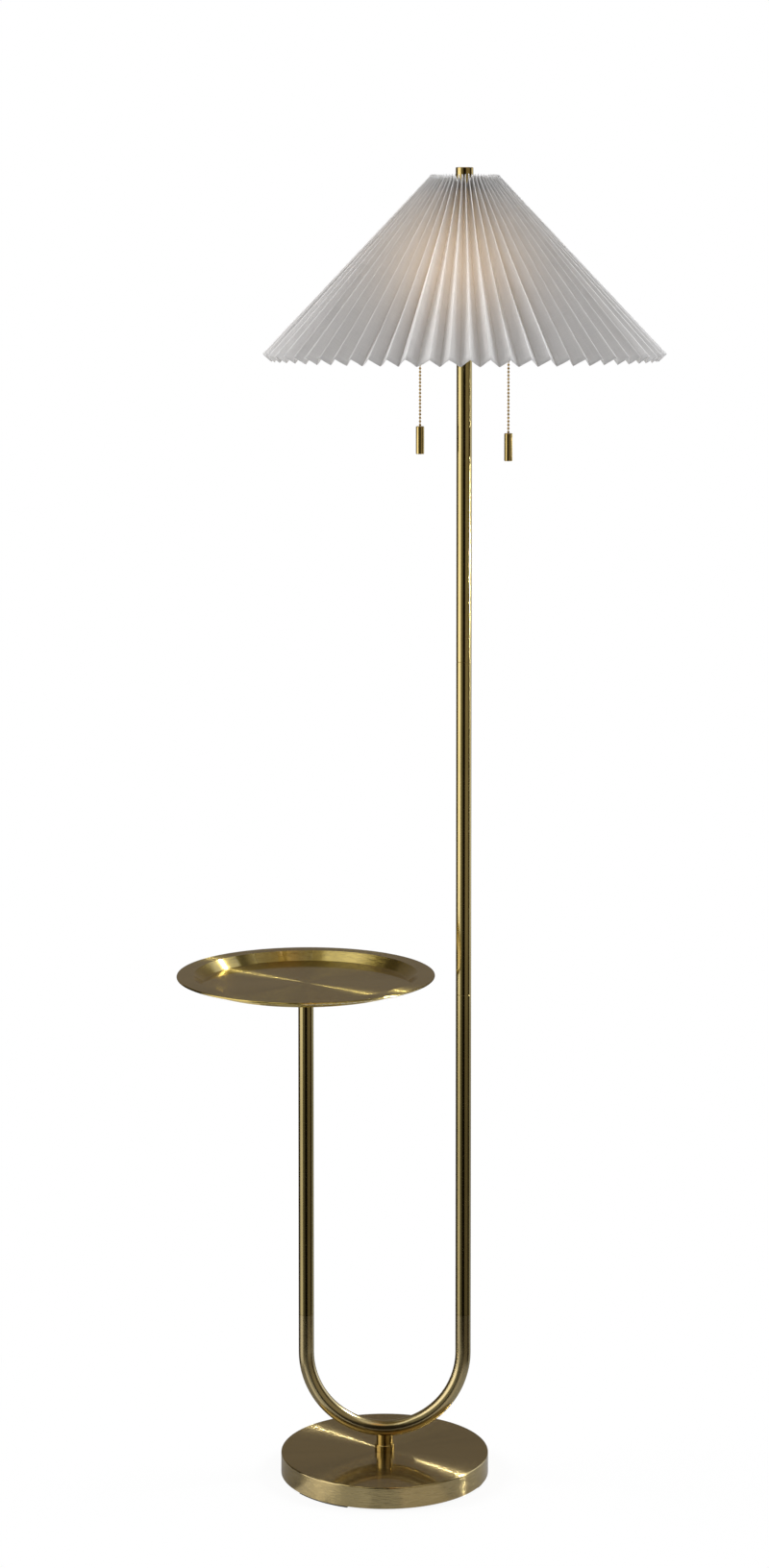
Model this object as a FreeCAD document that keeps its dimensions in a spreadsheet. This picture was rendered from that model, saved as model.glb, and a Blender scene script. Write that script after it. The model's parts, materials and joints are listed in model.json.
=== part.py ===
import FreeCAD, Part
import math
import os
import Sketcher

# Floor lamp with a round tray table, in millimetres.
# Origin: centre of the round base on the floor. +Z is up, the lamp pole stands at +X,
# the tray leg at -X, and -Y is the front.

Vector = FreeCAD.Vector
Rotation = FreeCAD.Rotation

doc = FreeCAD.newDocument("floorLampWithTable")
sheet = doc.addObject("Spreadsheet::Sheet", "dims")

drivingSizes = [
    # clearances shared by everything that fits or turns
    ("slipGap", "0.2", "radial gap of a part that slips into another"),
    ("turnGap", "0.1", "face gap under a part that turns"),
    ("shaftGap", "0.05", "radial running gap of a shaft or a thread"),
    ("softGap", "0.3", "gap between fabric and what carries it"),
    ("seamChamfer", "0.3", "edge break on each tube end, which shows as a fine ring"),
    # round base
    ("baseDiameter", "238", "outside of the base"),
    ("baseTop", "26", "height of the top face above the floor"),
    ("baseSheet", "1.2", "thickness of the spun cover"),
    ("baseEdge", "1.6", "outer radius of the top edge"),
    ("padHeight", "2", "thickness of the foot pads"),
    ("padWidth", "9", "radial width of a foot pad"),
    ("padInset", "1.5", "foot pad edge in from the outside of the base"),
    ("padSpanAngle", "34", "length of a foot pad, in degrees"),
    ("padStartAngle", "215", "where the front left pad starts, in degrees"),
    ("coverThickness", "1.5", "bottom cover"),
    ("weightGap", "0.5", "gap round the ballast weight"),
    ("recessDiameter", "40", "recess under the weight for nut and washer"),
    ("recessDepth", "11", "depth of that recess"),
    ("channelWidth", "16", "lead channel under the weight"),
    ("inletHeight", "12", "centre of the lead inlet above the floor"),
    ("inletBore", "7", "bore of the inlet grommet"),
    ("grommetBarrel", "10", "barrel of the inlet grommet"),
    ("grommetFlange", "15", "flanges of the inlet grommet"),
    ("flangeThickness", "1.4", "thickness of a grommet flange"),
    ("screwDiameter", "4", "cover screw thread"),
    ("screwHead", "8", "cover screw head"),
    ("screwHeadHeight", "1.2", "height of the cover screw head"),
    ("screwLength", "10", "cover screw below its head"),
    ("screwCircle", "150", "circle that the cover screws lie on"),
    # stem between base and bend
    ("nippleDiameter", "10", "threaded pipe through base and stem"),
    ("nippleBore", "7", "bore of that pipe, for the lead"),
    ("washerDiameter", "32", "washer under the weight"),
    ("washerThickness", "1.6", ""),
    ("nutWidth", "17", "nut across flats"),
    ("nutHeight", "4", ""),
    ("collarDiameter", "23", "wide ring on the base"),
    ("collarHeight", "8", ""),
    ("sleeveDiameter", "19", "narrow sleeve under the bend"),
    ("stemHeight", "16.5", "base top to the underside of the bend"),
    ("saddleRise", "3", "sleeve above the underside of the bend"),
    ("bossDiameter", "11.9", "threaded boss inside the bend"),
    ("bossHeight", "8", ""),
    # tubes
    ("tubeDiameter", "17.5", "outside of every tube"),
    ("tubeWall", "1.2", ""),
    ("bendRadius", "90", "centre line of the bend, and half the leg spacing"),
    ("bendStraight", "44", "straight part at each end of the bend"),
    ("lowerLength", "371", "lower pole tube"),
    ("middleLength", "382", "middle pole tube"),
    ("upperLength", "348", "upper pole tube"),
    ("legLength", "380", "tray leg tube"),
    ("connectorLength", "30", "threaded connector inside each joint of the tubes"),
    ("connectorBore", "11", ""),
    # tray table
    ("trayDiameter", "295", "outside of the tray"),
    ("trayFlange", "19", "flat rim of the tray"),
    ("trayFloor", "237", "diameter of the flat floor"),
    ("trayDepth", "10", "rim above the floor"),
    ("traySheet", "1.2", ""),
    ("trayBead", "1.3", "radius of the rolled edge"),
    ("traySeatDiameter", "44", "plate under the tray"),
    ("traySeatThickness", "3", ""),
    ("spigotLength", "16", "spigot that enters a tube"),
    # lamp head on the pole
    ("headDiameter", "28", "wiring body on the pole"),
    ("headHeight", "20", ""),
    ("headCavity", "18", "bore inside the wiring body"),
    ("headWall", "4", "thickness of its floor and roof"),
    ("headEdge", "1", "edge break of the wiring body"),
    ("armDiameter", "8", "pipe that carries a socket"),
    ("armBore", "5", ""),
    ("armBend", "10", "centre line radius of the arm"),
    ("armTop", "28", "upper end of the arm above the pole"),
    ("socketOffset", "29.5", "socket axis from the pole axis"),
    ("socketLift", "24", "underside of a socket above the pole"),
    ("riserDiameter", "8", "rod between head and shade"),
    ("riserLength", "161.5", "head top to the shoulder under the shade seat"),
    ("studDiameter", "6.35", "thread that holds the shade and the cap"),
    ("studLength", "24", "thread above the shoulder"),
    ("seatDiameter", "24", "flanged nut that the shade rests on"),
    ("seatThickness", "3", ""),
    ("capDiameter", "20", "cap on top of the shade"),
    ("capHeight", "26", ""),
    ("capDepth", "22", "threaded depth in the cap"),
    ("capEdge", "0.5", "edge break of the cap"),
    # sockets, heights counted from the underside of a socket
    ("hubDiameter", "14", "hub of the socket cap"),
    ("hubHeight", "4", ""),
    ("domeHeight", "9.5", "rise of the domed part of the cap"),
    ("domeRadius", "12", ""),
    ("skirtHeight", "4.5", "straight skirt of the socket cap"),
    ("socketSheet", "0.6", "thickness of cap and shell"),
    ("shellDiameter", "33", "brass shell of a socket"),
    ("shellBottom", "14.5", ""),
    ("shellTop", "62", ""),
    ("linerThickness", "0.5", "insulating sleeve"),
    ("coreBottom", "18", "insulating body with the switch"),
    ("coreHeight", "26", ""),
    ("contactDiameter", "10", "centre contact"),
    ("contactThickness", "0.8", ""),
    ("screwShellDiameter", "27.4", "threaded shell for the bulb"),
    ("screwShellSheet", "0.4", ""),
    ("threadPitch", "3.6", "pitch of the bulb thread"),
    ("threadDepth", "0.35", ""),
    ("drumDiameter", "12", "drum that the pull chain turns"),
    ("drumThickness", "5", ""),
    ("drumShaft", "3", ""),
    ("drumOffset", "5", "drum axis from the socket axis"),
    ("drumHeight", "31", "drum axis above the underside of a socket"),
    ("slotGap", "0.4", "gap between the drum and its slot"),
    ("guideDiameter", "5.2", "curved guide of the pull chain"),
    ("guideBore", "3.8", ""),
    ("guideBend", "5", "centre line radius of the guide"),
    ("guideMouth", "20", "lower end of the guide"),
    # bulbs
    ("bulbDiameter", "44", ""),
    ("bulbCentre", "108", "centre of the round part"),
    ("bulbNeck", "24.4", "diameter where the glass meets its base"),
    ("bulbNeckBottom", "67", ""),
    ("bulbNeckAngle", "27.6", "where the neck meets the round part, in degrees"),
    ("bulbNeckRound", "64", "radius of the hollow curve of the neck"),
    ("glassThickness", "0.8", ""),
    ("bulbBaseDiameter", "25.8", "screw base of a bulb"),
    ("bulbBaseTop", "68", ""),
    ("bulbBaseCone", "6", "height of the taper at its lower end"),
    ("bulbTip", "9", "diameter of the contact at its lower end"),
    # pull chains
    ("beadDiameter", "2.8", ""),
    ("beadPitch", "4", ""),
    ("linkDiameter", "1", ""),
    ("chainOffset", "20.5", "hanging chain from the socket axis"),
    ("topBeads", "4", "beads inside the guide"),
    ("leftBeads", "32", "beads of the left chain under the guide"),
    ("rightBeads", "34", "beads of the right chain under the guide"),
    ("pullDiameter", "9.4", "brass pull at the end of a chain"),
    ("pullLength", "31.5", ""),
    ("pullEdge", "0.6", "edge break of a pull"),
    ("pullHole", "3.4", "hole that holds the last bead"),
    ("pullHoleDepth", "4", ""),
    # shade
    ("shadeTopDiameter", "77", "over the folds at the top"),
    ("shadeBottomDiameter", "457", "over the folds at the bottom"),
    ("shadeHeight", "202", "folds at the bottom to folds at the top"),
    ("shadeAboveSeat", "20", "folds at the top above the shade seat"),
    ("pleatCount", "64", ""),
    ("pleatTopDepth", "13", "fold depth at the top"),
    ("pleatBottomDepth", "9", "fold depth at the bottom"),
    ("fabricThickness", "0.6", ""),
    ("wireDiameter", "3", "wire of the shade frame's rings"),
    ("strutDiameter", "2.4", "wire of its struts and arms"),
    ("upperRingInset", "4", "upper ring in from the fabric's edge, along the fold"),
    ("lowerRingInset", "14", "lower ring in from the fabric's edge, along the fold"),
    ("strutCount", "8", "straight wires of the frame"),
    ("spiderArms", "3", "wires that carry the hub"),
    ("shadeHubDiameter", "30", "washer at the centre of the frame"),
    ("shadeHubThickness", "1.5", ""),
]

for row, (alias, size, note) in enumerate(drivingSizes, start=1):
    sheet.set(f"A{row}", alias)
    sheet.set(f"B{row}", size)
    sheet.setAlias(f"B{row}", alias)
    sheet.set(f"C{row}", note)
doc.recompute()


# Places and radii that several pieces share, as expressions of the driving sizes.
baseRadius = "dims.baseDiameter / 2"
baseInside = "dims.baseTop - dims.baseSheet"
coverTop = "(dims.padHeight + dims.coverThickness)"
recessTop = f"({coverTop} + dims.recessDepth)"
tubeRadius = "dims.tubeDiameter / 2"
tubeInside = "(dims.tubeDiameter / 2 - dims.tubeWall)"
bendUnderside = "(dims.baseTop + dims.stemHeight)"
bendCentre = f"({bendUnderside} + {tubeRadius} + dims.bendRadius)"
bendTop = f"({bendCentre} + dims.bendStraight)"
lowerSeam = f"({bendTop} + dims.lowerLength)"
upperSeam = f"({lowerSeam} + dims.middleLength)"
poleTop = f"({upperSeam} + dims.upperLength)"
legTop = f"({bendTop} + dims.legLength)"
trayBottom = f"({legTop} + dims.traySeatThickness)"
connectorRadius = f"({tubeInside} - dims.slipGap)"
nippleClear = "(dims.nippleDiameter / 2 + dims.slipGap)"
socketBottom = f"({poleTop} + dims.socketLift)"
shoulder = "(dims.headHeight + dims.riserLength)"
seatTop = f"({poleTop} + {shoulder} + dims.seatThickness)"
hubBottom = f"({seatTop} + dims.turnGap)"
capBottom = f"({hubBottom} + dims.shadeHubThickness + dims.turnGap)"
studRadius = "dims.studDiameter / 2"
shellRadius = "dims.shellDiameter / 2"
linerOutside = f"({shellRadius} - dims.socketSheet - dims.slipGap)"
coreRadius = f"({linerOutside} - dims.linerThickness - dims.slipGap)"
coreTop = "(dims.coreBottom + dims.coreHeight)"
guideLevel = "(dims.drumHeight + dims.drumDiameter / 2)"
guideStraightTop = f"({guideLevel} - dims.guideBend)"
topBead = "(dims.guideMouth + dims.beadDiameter / 2 + (dims.topBeads - 1) * dims.beadPitch)"
chainPivot = "(dims.guideMouth - 0.15 * dims.beadPitch)"


def sizeOf(expression):
    """The number that an expression of the driving sizes gives."""
    return float(sheet.evalExpression(str(expression)))


def newBody(label):
    body = doc.addObject("PartDesign::Body", label)
    body.Label = label
    return body


def originPlane(body, role):
    return next(feature for feature in body.Origin.OriginFeatures if feature.Role == role)


def place(item, x="0", y="0", z="0"):
    """Binds an object's position to expressions."""
    for axis, expression in zip("xyz", (x, y, z)):
        if expression != "0":
            item.setExpression(f"Placement.Base.{axis}", expression)
    return item


def newSketch(body, name, role="XZ_Plane", offset="0"):
    sketch = body.newObject("Sketcher::SketchObject", name)
    sketch.AttachmentSupport = (originPlane(body, role), [""])
    sketch.MapMode = "FlatFace"
    if offset != "0":
        sketch.setExpression("AttachmentOffset.Base.z", offset)
    return sketch


def pin(sketch, geometry, end, x, y):
    """Holds one point of a sketch at two expressions."""
    for kind, expression, axisLine in (("DistanceX", x, -2), ("DistanceY", y, -1)):
        if expression == "0":
            sketch.addConstraint(Sketcher.Constraint("PointOnObject", geometry, end, axisLine))
        else:
            size = sizeOf(expression)
            index = sketch.addConstraint(Sketcher.Constraint(kind, -1, 1, geometry, end, size))
            sketch.setExpression(f"Constraints[{index}]", expression)


def arcThrough(start, end, radius, side):
    """A circular arc between two points. side is 1 to bulge left of the way, -1 to the right.
    It is drawn anticlockwise, so that it starts at its end point where it bulges to the left."""
    chord = end - start
    half = chord.Length / 2
    across = Vector(-chord.y, chord.x, 0).normalize() * side
    rise = radius - math.sqrt(max(radius * radius - half * half, 0.0))
    crown = start + chord * 0.5 + across * rise
    return Part.Arc(start, crown, end) if side < 0 else Part.Arc(end, crown, start)


def addOutline(sketch, corners, closed=True):
    """Lines and arcs through corners: (x, y), or (x, y, radius, side) where an arc follows."""
    points = [Vector(sizeOf(corner[0]), sizeOf(corner[1]), 0) for corner in corners]
    count = len(corners) if closed else len(corners) - 1
    ends = []
    for number in range(count):
        start = points[number]
        end = points[(number + 1) % len(points)]
        corner = corners[number]
        if len(corner) == 2:
            geometry = sketch.addGeometry(Part.LineSegment(start, end))
            forward = True
        else:
            geometry = sketch.addGeometry(arcThrough(start, end, sizeOf(corner[2]), corner[3]))
            forward = corner[3] < 0
        ends.append((geometry, 1, 2) if forward else (geometry, 2, 1))
    for number in range(count if closed else count - 1):
        here, there = ends[number], ends[(number + 1) % count]
        joint = Sketcher.Constraint("Coincident", here[0], here[2], there[0], there[1])
        sketch.addConstraint(joint)
    for number in range(count):
        geometry, startEnd = ends[number][:2]
        pin(sketch, geometry, startEnd, corners[number][0], corners[number][1])
        if len(corners[number]) > 2:
            radius = corners[number][2]
            index = sketch.addConstraint(Sketcher.Constraint("Radius", geometry, sizeOf(radius)))
            sketch.setExpression(f"Constraints[{index}]", radius)
    if not closed:
        geometry, lastEnd = ends[-1][0], ends[-1][2]
        pin(sketch, geometry, lastEnd, corners[-1][0], corners[-1][1])


def addCircle(sketch, x, y, radius):
    centre = Vector(sizeOf(x), sizeOf(y), 0)
    geometry = sketch.addGeometry(Part.Circle(centre, Vector(0, 0, 1), sizeOf(radius)))
    pin(sketch, geometry, 3, x, y)
    index = sketch.addConstraint(Sketcher.Constraint("Radius", geometry, sizeOf(radius)))
    sketch.setExpression(f"Constraints[{index}]", radius)


def turnedBody(label, corners):
    """A body turned about its own Z axis from an outline of (radius, height) corners."""
    body = newBody(label)
    sketch = newSketch(body, f"{label}_outline")
    addOutline(sketch, corners)
    turn = body.newObject("PartDesign::Revolution", f"{label}_turn")
    turn.Profile = sketch
    turn.ReferenceAxis = (sketch, ["V_Axis"])
    turn.Angle = 360
    return body


def turnedSolid(label, corners):
    """The same for an outline whose arcs are centred near the axis."""
    sketch = doc.addObject("Sketcher::SketchObject", f"{label}_outline")
    sketch.Placement = FreeCAD.Placement(Vector(0, 0, 0), Rotation(Vector(1, 0, 0), 90))
    addOutline(sketch, corners)
    turn = doc.addObject("Part::Revolution", label)
    turn.Label = label
    turn.Source = sketch
    turn.Axis = Vector(0, 0, 1)
    turn.Angle = 360
    turn.Solid = True
    return turn


def ringBody(label, inside, outside, bottom, top, edge="0"):
    """A plain ring or tube. edge breaks the two outer edges."""
    corners = [(inside, bottom)]
    if edge == "0":
        corners += [(outside, bottom), (outside, top)]
    else:
        corners += [
            (f"{outside} - {edge}", bottom),
            (outside, f"{bottom} + {edge}"),
            (outside, f"{top} - {edge}"),
            (f"{outside} - {edge}", top),
        ]
    corners.append((inside, top))
    return turnedBody(label, corners)


def cutThrough(body, sketch, name, length, bothWays=False, backwards=False):
    """Pockets a sketch out of its body, and makes sure that it took something away."""
    doc.recompute()
    before = body.Shape.Volume
    cut = body.newObject("PartDesign::Pocket", name)
    cut.Profile = sketch
    cut.Type = 0
    cut.setExpression("Length", length)
    cut.Midplane = bothWays
    cut.Reversed = backwards
    doc.recompute()
    if body.Shape.Volume >= before:
        raise RuntimeError(f"{name} cuts nothing")
    return cut


def sweptBody(label, route, startX, startY, outside, inside, plane="XY_Plane", offset="0"):
    """A pipe along a route in the XZ plane. The ring section sits where the route starts."""
    body = newBody(label)
    path = newSketch(body, f"{label}_route")
    addOutline(path, route, closed=False)
    section = newSketch(body, f"{label}_section", plane, offset)
    addCircle(section, startX, startY, outside)
    addCircle(section, startX, startY, inside)
    pipe = body.newObject("PartDesign::AdditivePipe", f"{label}_pipe")
    pipe.Profile = section
    pipe.Spine = path
    return body


def primitive(kind, label, sizes, x="0", y="0", z="0", rotation=None):
    """A Part primitive with its sizes and place bound to expressions."""
    item = doc.addObject(f"Part::{kind}", label)
    for name, expression in sizes.items():
        item.setExpression(name, expression)
    if rotation is not None:
        item.Placement = FreeCAD.Placement(Vector(0, 0, 0), rotation)
    return place(item, x, y, z)


def grouped(label, items):
    """One node made of several separate identical solids."""
    group = doc.addObject("Part::Compound", label)
    group.Label = label
    group.Links = items
    return group


parts = []


def keep(*items):
    parts.extend(items)


# base

def buildBase():
    inside = f"({baseRadius} - dims.baseSheet)"
    edgeStart = f"{baseRadius} - dims.baseEdge"
    edgeInside = "(dims.baseEdge - dims.baseSheet)"
    shell = turnedBody("base_shell", [
        (nippleClear, baseInside),
        (nippleClear, "dims.baseTop"),
        (edgeStart, "dims.baseTop", "dims.baseEdge", 1),
        (baseRadius, "dims.baseTop - dims.baseEdge"),
        (baseRadius, "dims.padHeight"),
        (inside, "dims.padHeight"),
        (inside, "dims.baseTop - dims.baseEdge", edgeInside, -1),
        (edgeStart, baseInside),
    ])
    hole = newSketch(shell, "lead_hole", "XZ_Plane")
    addCircle(hole, "0", "dims.inletHeight", "dims.grommetBarrel / 2 + dims.slipGap")
    cutThrough(shell, hole, "lead_hole_cut", baseRadius)

    cover = ringBody("base_cover", "0", f"{inside} - dims.weightGap", "dims.padHeight", coverTop)
    heads = newSketch(cover, "screw_holes", "XY_Plane")
    for turn in (0, 120, 240):
        addCircle(heads, f"dims.screwCircle / 2 * cos({turn})", f"dims.screwCircle / 2 * sin({turn})",
                  "dims.screwDiameter / 2 + dims.slipGap")
    cutThrough(cover, heads, "screw_holes_cut", "4 * dims.coverThickness + 4 * dims.padHeight", bothWays=True)

    recess = "dims.recessDiameter / 2"
    weight = turnedBody("base_weight", [
        (nippleClear, recessTop),
        (nippleClear, baseInside),
        (f"{inside} - dims.weightGap", baseInside),
        (f"{inside} - dims.weightGap", coverTop),
        (recess, coverTop),
        (recess, recessTop),
    ])
    channel = newSketch(weight, "lead_channel", "XZ_Plane")
    channelTop = "(dims.inletHeight + dims.grommetFlange / 2 + dims.slipGap)"
    side = "dims.channelWidth / 2"
    addOutline(channel, [
        (f"-{side}", coverTop), (f"-{side}", channelTop), (side, channelTop), (side, coverTop),
    ])
    cutThrough(weight, channel, "lead_channel_cut", baseRadius)
    taps = newSketch(weight, "screw_taps", "XY_Plane")
    for turn in (0, 120, 240):
        addCircle(taps, f"dims.screwCircle / 2 * cos({turn})", f"dims.screwCircle / 2 * sin({turn})",
                  "dims.screwDiameter / 2 + dims.shaftGap")
    cutThrough(weight, taps, "screw_taps_cut", "2 * (dims.padHeight + dims.screwLength + 1)", bothWays=True)
    keep(shell, cover, weight)


def buildCoverScrews():
    screws = []
    for number, turn in enumerate((0, 120, 240)):
        x = f"dims.screwCircle / 2 * cos({turn})"
        y = f"dims.screwCircle / 2 * sin({turn})"
        head = primitive("Cylinder", f"screw_head_{number}",
                         {"Radius": "dims.screwHead / 2", "Height": "dims.screwHeadHeight"},
                         x, y, "dims.padHeight - dims.screwHeadHeight")
        thread = primitive("Cylinder", f"screw_thread_{number}",
                           {"Radius": "dims.screwDiameter / 2", "Height": "dims.screwLength"},
                           x, y, "dims.padHeight")
        screw = doc.addObject("Part::Fuse", f"cover_screw_{number}")
        screw.Base = head
        screw.Tool = thread
        screws.append(screw)
    keep(grouped("cover_screws", screws))


def buildFootPads():
    pads = []
    outside = f"{baseRadius} - dims.padInset"
    for number in range(3):
        turn = f"dims.padStartAngle + {120 * number}"
        blank = primitive("Cylinder", f"pad_blank_{number}",
                          {"Radius": outside, "Height": "dims.padHeight", "Angle": "dims.padSpanAngle"})
        blank.setExpression("Placement.Rotation.Angle", turn)
        blank.Placement.Rotation.Axis = Vector(0, 0, 1)
        middle = primitive("Cylinder", f"pad_middle_{number}",
                           {"Radius": f"{outside} - dims.padWidth", "Height": "dims.padHeight"})
        pad = doc.addObject("Part::Cut", f"foot_pad_{number}")
        pad.Base = blank
        pad.Tool = middle
        pads.append(pad)
    keep(grouped("foot_pads", pads))


def buildInletGrommet():
    """Turned about its own axis, then laid along Y through the back wall."""
    bore = "dims.inletBore / 2"
    barrel = "dims.grommetBarrel / 2"
    flange = "dims.grommetFlange / 2"
    wallStart = "(dims.baseSheet + dims.softGap)"
    grommet = turnedBody("inlet_grommet", [
        (bore, f"-({wallStart} + dims.flangeThickness)"),
        (f"{barrel} + 1", f"-({wallStart} + dims.flangeThickness)"),
        (flange, f"-{wallStart}"),
        (barrel, f"-{wallStart}"),
        (barrel, "dims.softGap"),
        (flange, "dims.softGap"),
        (f"{flange} - 0.4", "dims.softGap + dims.flangeThickness"),
        (bore, "dims.softGap + dims.flangeThickness"),
    ])
    grommet.Placement = FreeCAD.Placement(Vector(0, 0, 0), Rotation(Vector(1, 0, 0), -90))
    keep(place(grommet, y=baseRadius, z="dims.inletHeight"))


def buildStem():
    washer = ringBody("base_washer", nippleClear, "dims.washerDiameter / 2", "0", "dims.washerThickness")
    place(washer, z=f"{recessTop} - dims.washerThickness")

    nut = newBody("base_nut")
    flats = newSketch(nut, "nut_flats", "XY_Plane")
    corner = "(dims.nutWidth / 2 / cos(30))"
    addOutline(flats, [
        (f"{corner} * cos({60 * step})", f"{corner} * sin({60 * step})") for step in range(6)
    ])
    addCircle(flats, "0", "0", "dims.nippleDiameter / 2 + dims.shaftGap")
    block = nut.newObject("PartDesign::Pad", "nut_block")
    block.Profile = flats
    block.setExpression("Length", "dims.nutHeight")
    place(nut, z=f"{recessTop} - dims.washerThickness - dims.nutHeight")

    nippleBottom = f"({recessTop} - dims.washerThickness - dims.nutHeight - 1.5)"
    bossBottom = f"({bendUnderside} + dims.tubeWall + 3.2)"
    nipple = ringBody("base_nipple", "dims.nippleBore / 2", "dims.nippleDiameter / 2",
                      nippleBottom, f"({bossBottom} + dims.bossHeight - 1)", "dims.seamChamfer")

    collar = ringBody("stem_collar", nippleClear, "dims.collarDiameter / 2",
                      "0", "dims.collarHeight", "dims.seamChamfer")
    place(collar, z="dims.baseTop")

    boss = ringBody("bend_boss", "dims.nippleDiameter / 2 + dims.shaftGap", "dims.bossDiameter / 2",
                    bossBottom, f"({bossBottom} + dims.bossHeight)", "dims.seamChamfer")
    keep(washer, nut, nipple, collar, boss)


def buildStemSleeve():
    """A sleeve whose upper end is hollowed to fit the underside of the bend."""
    length = "dims.stemHeight - dims.collarHeight + dims.saddleRise"
    bottom = "dims.baseTop + dims.collarHeight"
    outer = primitive("Cylinder", "sleeve_outside",
                      {"Radius": "dims.sleeveDiameter / 2", "Height": length}, z=bottom)
    bore = primitive("Cylinder", "sleeve_bore", {"Radius": nippleClear, "Height": length}, z=bottom)
    saddle = primitive("Torus", "sleeve_saddle",
                       {"Radius1": "dims.bendRadius", "Radius2": f"{tubeRadius} + dims.shaftGap"},
                       z=bendCentre, rotation=Rotation(Vector(1, 0, 0), 90))
    cut = doc.addObject("Part::Cut", "sleeve_bored")
    cut.Base = outer
    cut.Tool = bore
    sleeve = doc.addObject("Part::Cut", "stem_sleeve")
    sleeve.Base = cut
    sleeve.Tool = saddle
    keep(sleeve)


# tubes

def buildBend():
    """A half circle with a straight end each side, and a hole below for the stem pipe."""
    bend = sweptBody("u_bend", [
        ("-dims.bendRadius", "dims.bendStraight"),
        ("-dims.bendRadius", "0", "dims.bendRadius", -1),
        ("0", "-dims.bendRadius", "dims.bendRadius", -1),
        ("dims.bendRadius", "0"),
        ("dims.bendRadius", "dims.bendStraight"),
    ], "-dims.bendRadius", "0", tubeRadius, tubeInside, offset="dims.bendStraight")
    hole = newSketch(bend, "stem_hole", "XY_Plane", f"-(dims.bendRadius + {tubeRadius})")
    addCircle(hole, "0", "0", nippleClear)
    cutThrough(bend, hole, "stem_hole_cut", tubeRadius, backwards=True)
    place(bend, z=bendCentre)
    keep(bend)


def buildTubes():
    def tube(label, length, x, z):
        body = ringBody(label, tubeInside, tubeRadius, "0", length, "dims.seamChamfer")
        keep(place(body, x=x, z=z))

    tube("tray_leg", "dims.legLength", "-dims.bendRadius", bendTop)
    tube("pole_lower", "dims.lowerLength", "dims.bendRadius", bendTop)
    tube("pole_middle", "dims.middleLength", "dims.bendRadius", lowerSeam)
    tube("pole_upper", "dims.upperLength", "dims.bendRadius", upperSeam)


def buildConnectors():
    """Threaded rings inside the joints: two in the ends of the bend, two in the pole."""
    def connector(label, x, seam):
        outer = primitive("Cylinder", f"{label}_outside",
                          {"Radius": connectorRadius, "Height": "dims.connectorLength"},
                          x, "0", f"{seam} - dims.connectorLength / 2")
        bore = primitive("Cylinder", f"{label}_bore",
                         {"Radius": "dims.connectorBore / 2", "Height": "dims.connectorLength"},
                         x, "0", f"{seam} - dims.connectorLength / 2")
        ring = doc.addObject("Part::Cut", label)
        ring.Base = outer
        ring.Tool = bore
        return ring

    keep(grouped("bend_connectors", [
        connector("left_connector", "-dims.bendRadius", bendTop),
        connector("right_connector", "dims.bendRadius", bendTop),
    ]))
    keep(grouped("pole_connectors", [
        connector("lower_connector", "dims.bendRadius", lowerSeam),
        connector("upper_connector", "dims.bendRadius", upperSeam),
    ]))


# tray table

def buildTray():
    seat = turnedBody("tray_seat", [
        ("0", "-dims.spigotLength"),
        (f"{connectorRadius} - dims.seamChamfer", "-dims.spigotLength"),
        (connectorRadius, "dims.seamChamfer - dims.spigotLength"),
        (connectorRadius, "0"),
        ("dims.traySeatDiameter / 2 - 1", "0"),
        ("dims.traySeatDiameter / 2", "1"),
        ("dims.traySeatDiameter / 2", "dims.traySeatThickness"),
        ("0", "dims.traySeatThickness"),
    ])
    place(seat, x="-dims.bendRadius", z=legTop)

    floor = "dims.trayFloor / 2"
    outside = "dims.trayDiameter / 2"
    wallTop = f"({outside} - dims.trayFlange)"
    slope = f"atan(dims.trayDepth / ({wallTop} - {floor}))"
    shift = f"dims.traySheet * tan({slope} / 2)"
    rimTop = "(dims.trayDepth + dims.traySheet)"
    bead = "dims.trayBead"
    tray = turnedBody("tray", [
        ("0", "0"),
        (f"{floor} + {shift}", "0"),
        (f"{wallTop} + {shift}", "dims.trayDepth"),
        (f"{outside} - 2 * {bead}", "dims.trayDepth"),
        (f"{outside} - 2 * {bead}", f"{rimTop} - {bead}", bead, -1),
        (f"{outside} - {bead}", f"{rimTop} - 2 * {bead}", bead, -1),
        (outside, f"{rimTop} - {bead}", bead, -1),
        (f"{outside} - {bead}", rimTop),
        (wallTop, rimTop),
        (floor, "dims.traySheet"),
        ("0", "dims.traySheet"),
    ])
    place(tray, x="-dims.bendRadius", z=trayBottom)
    keep(seat, tray)


# lamp head

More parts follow.
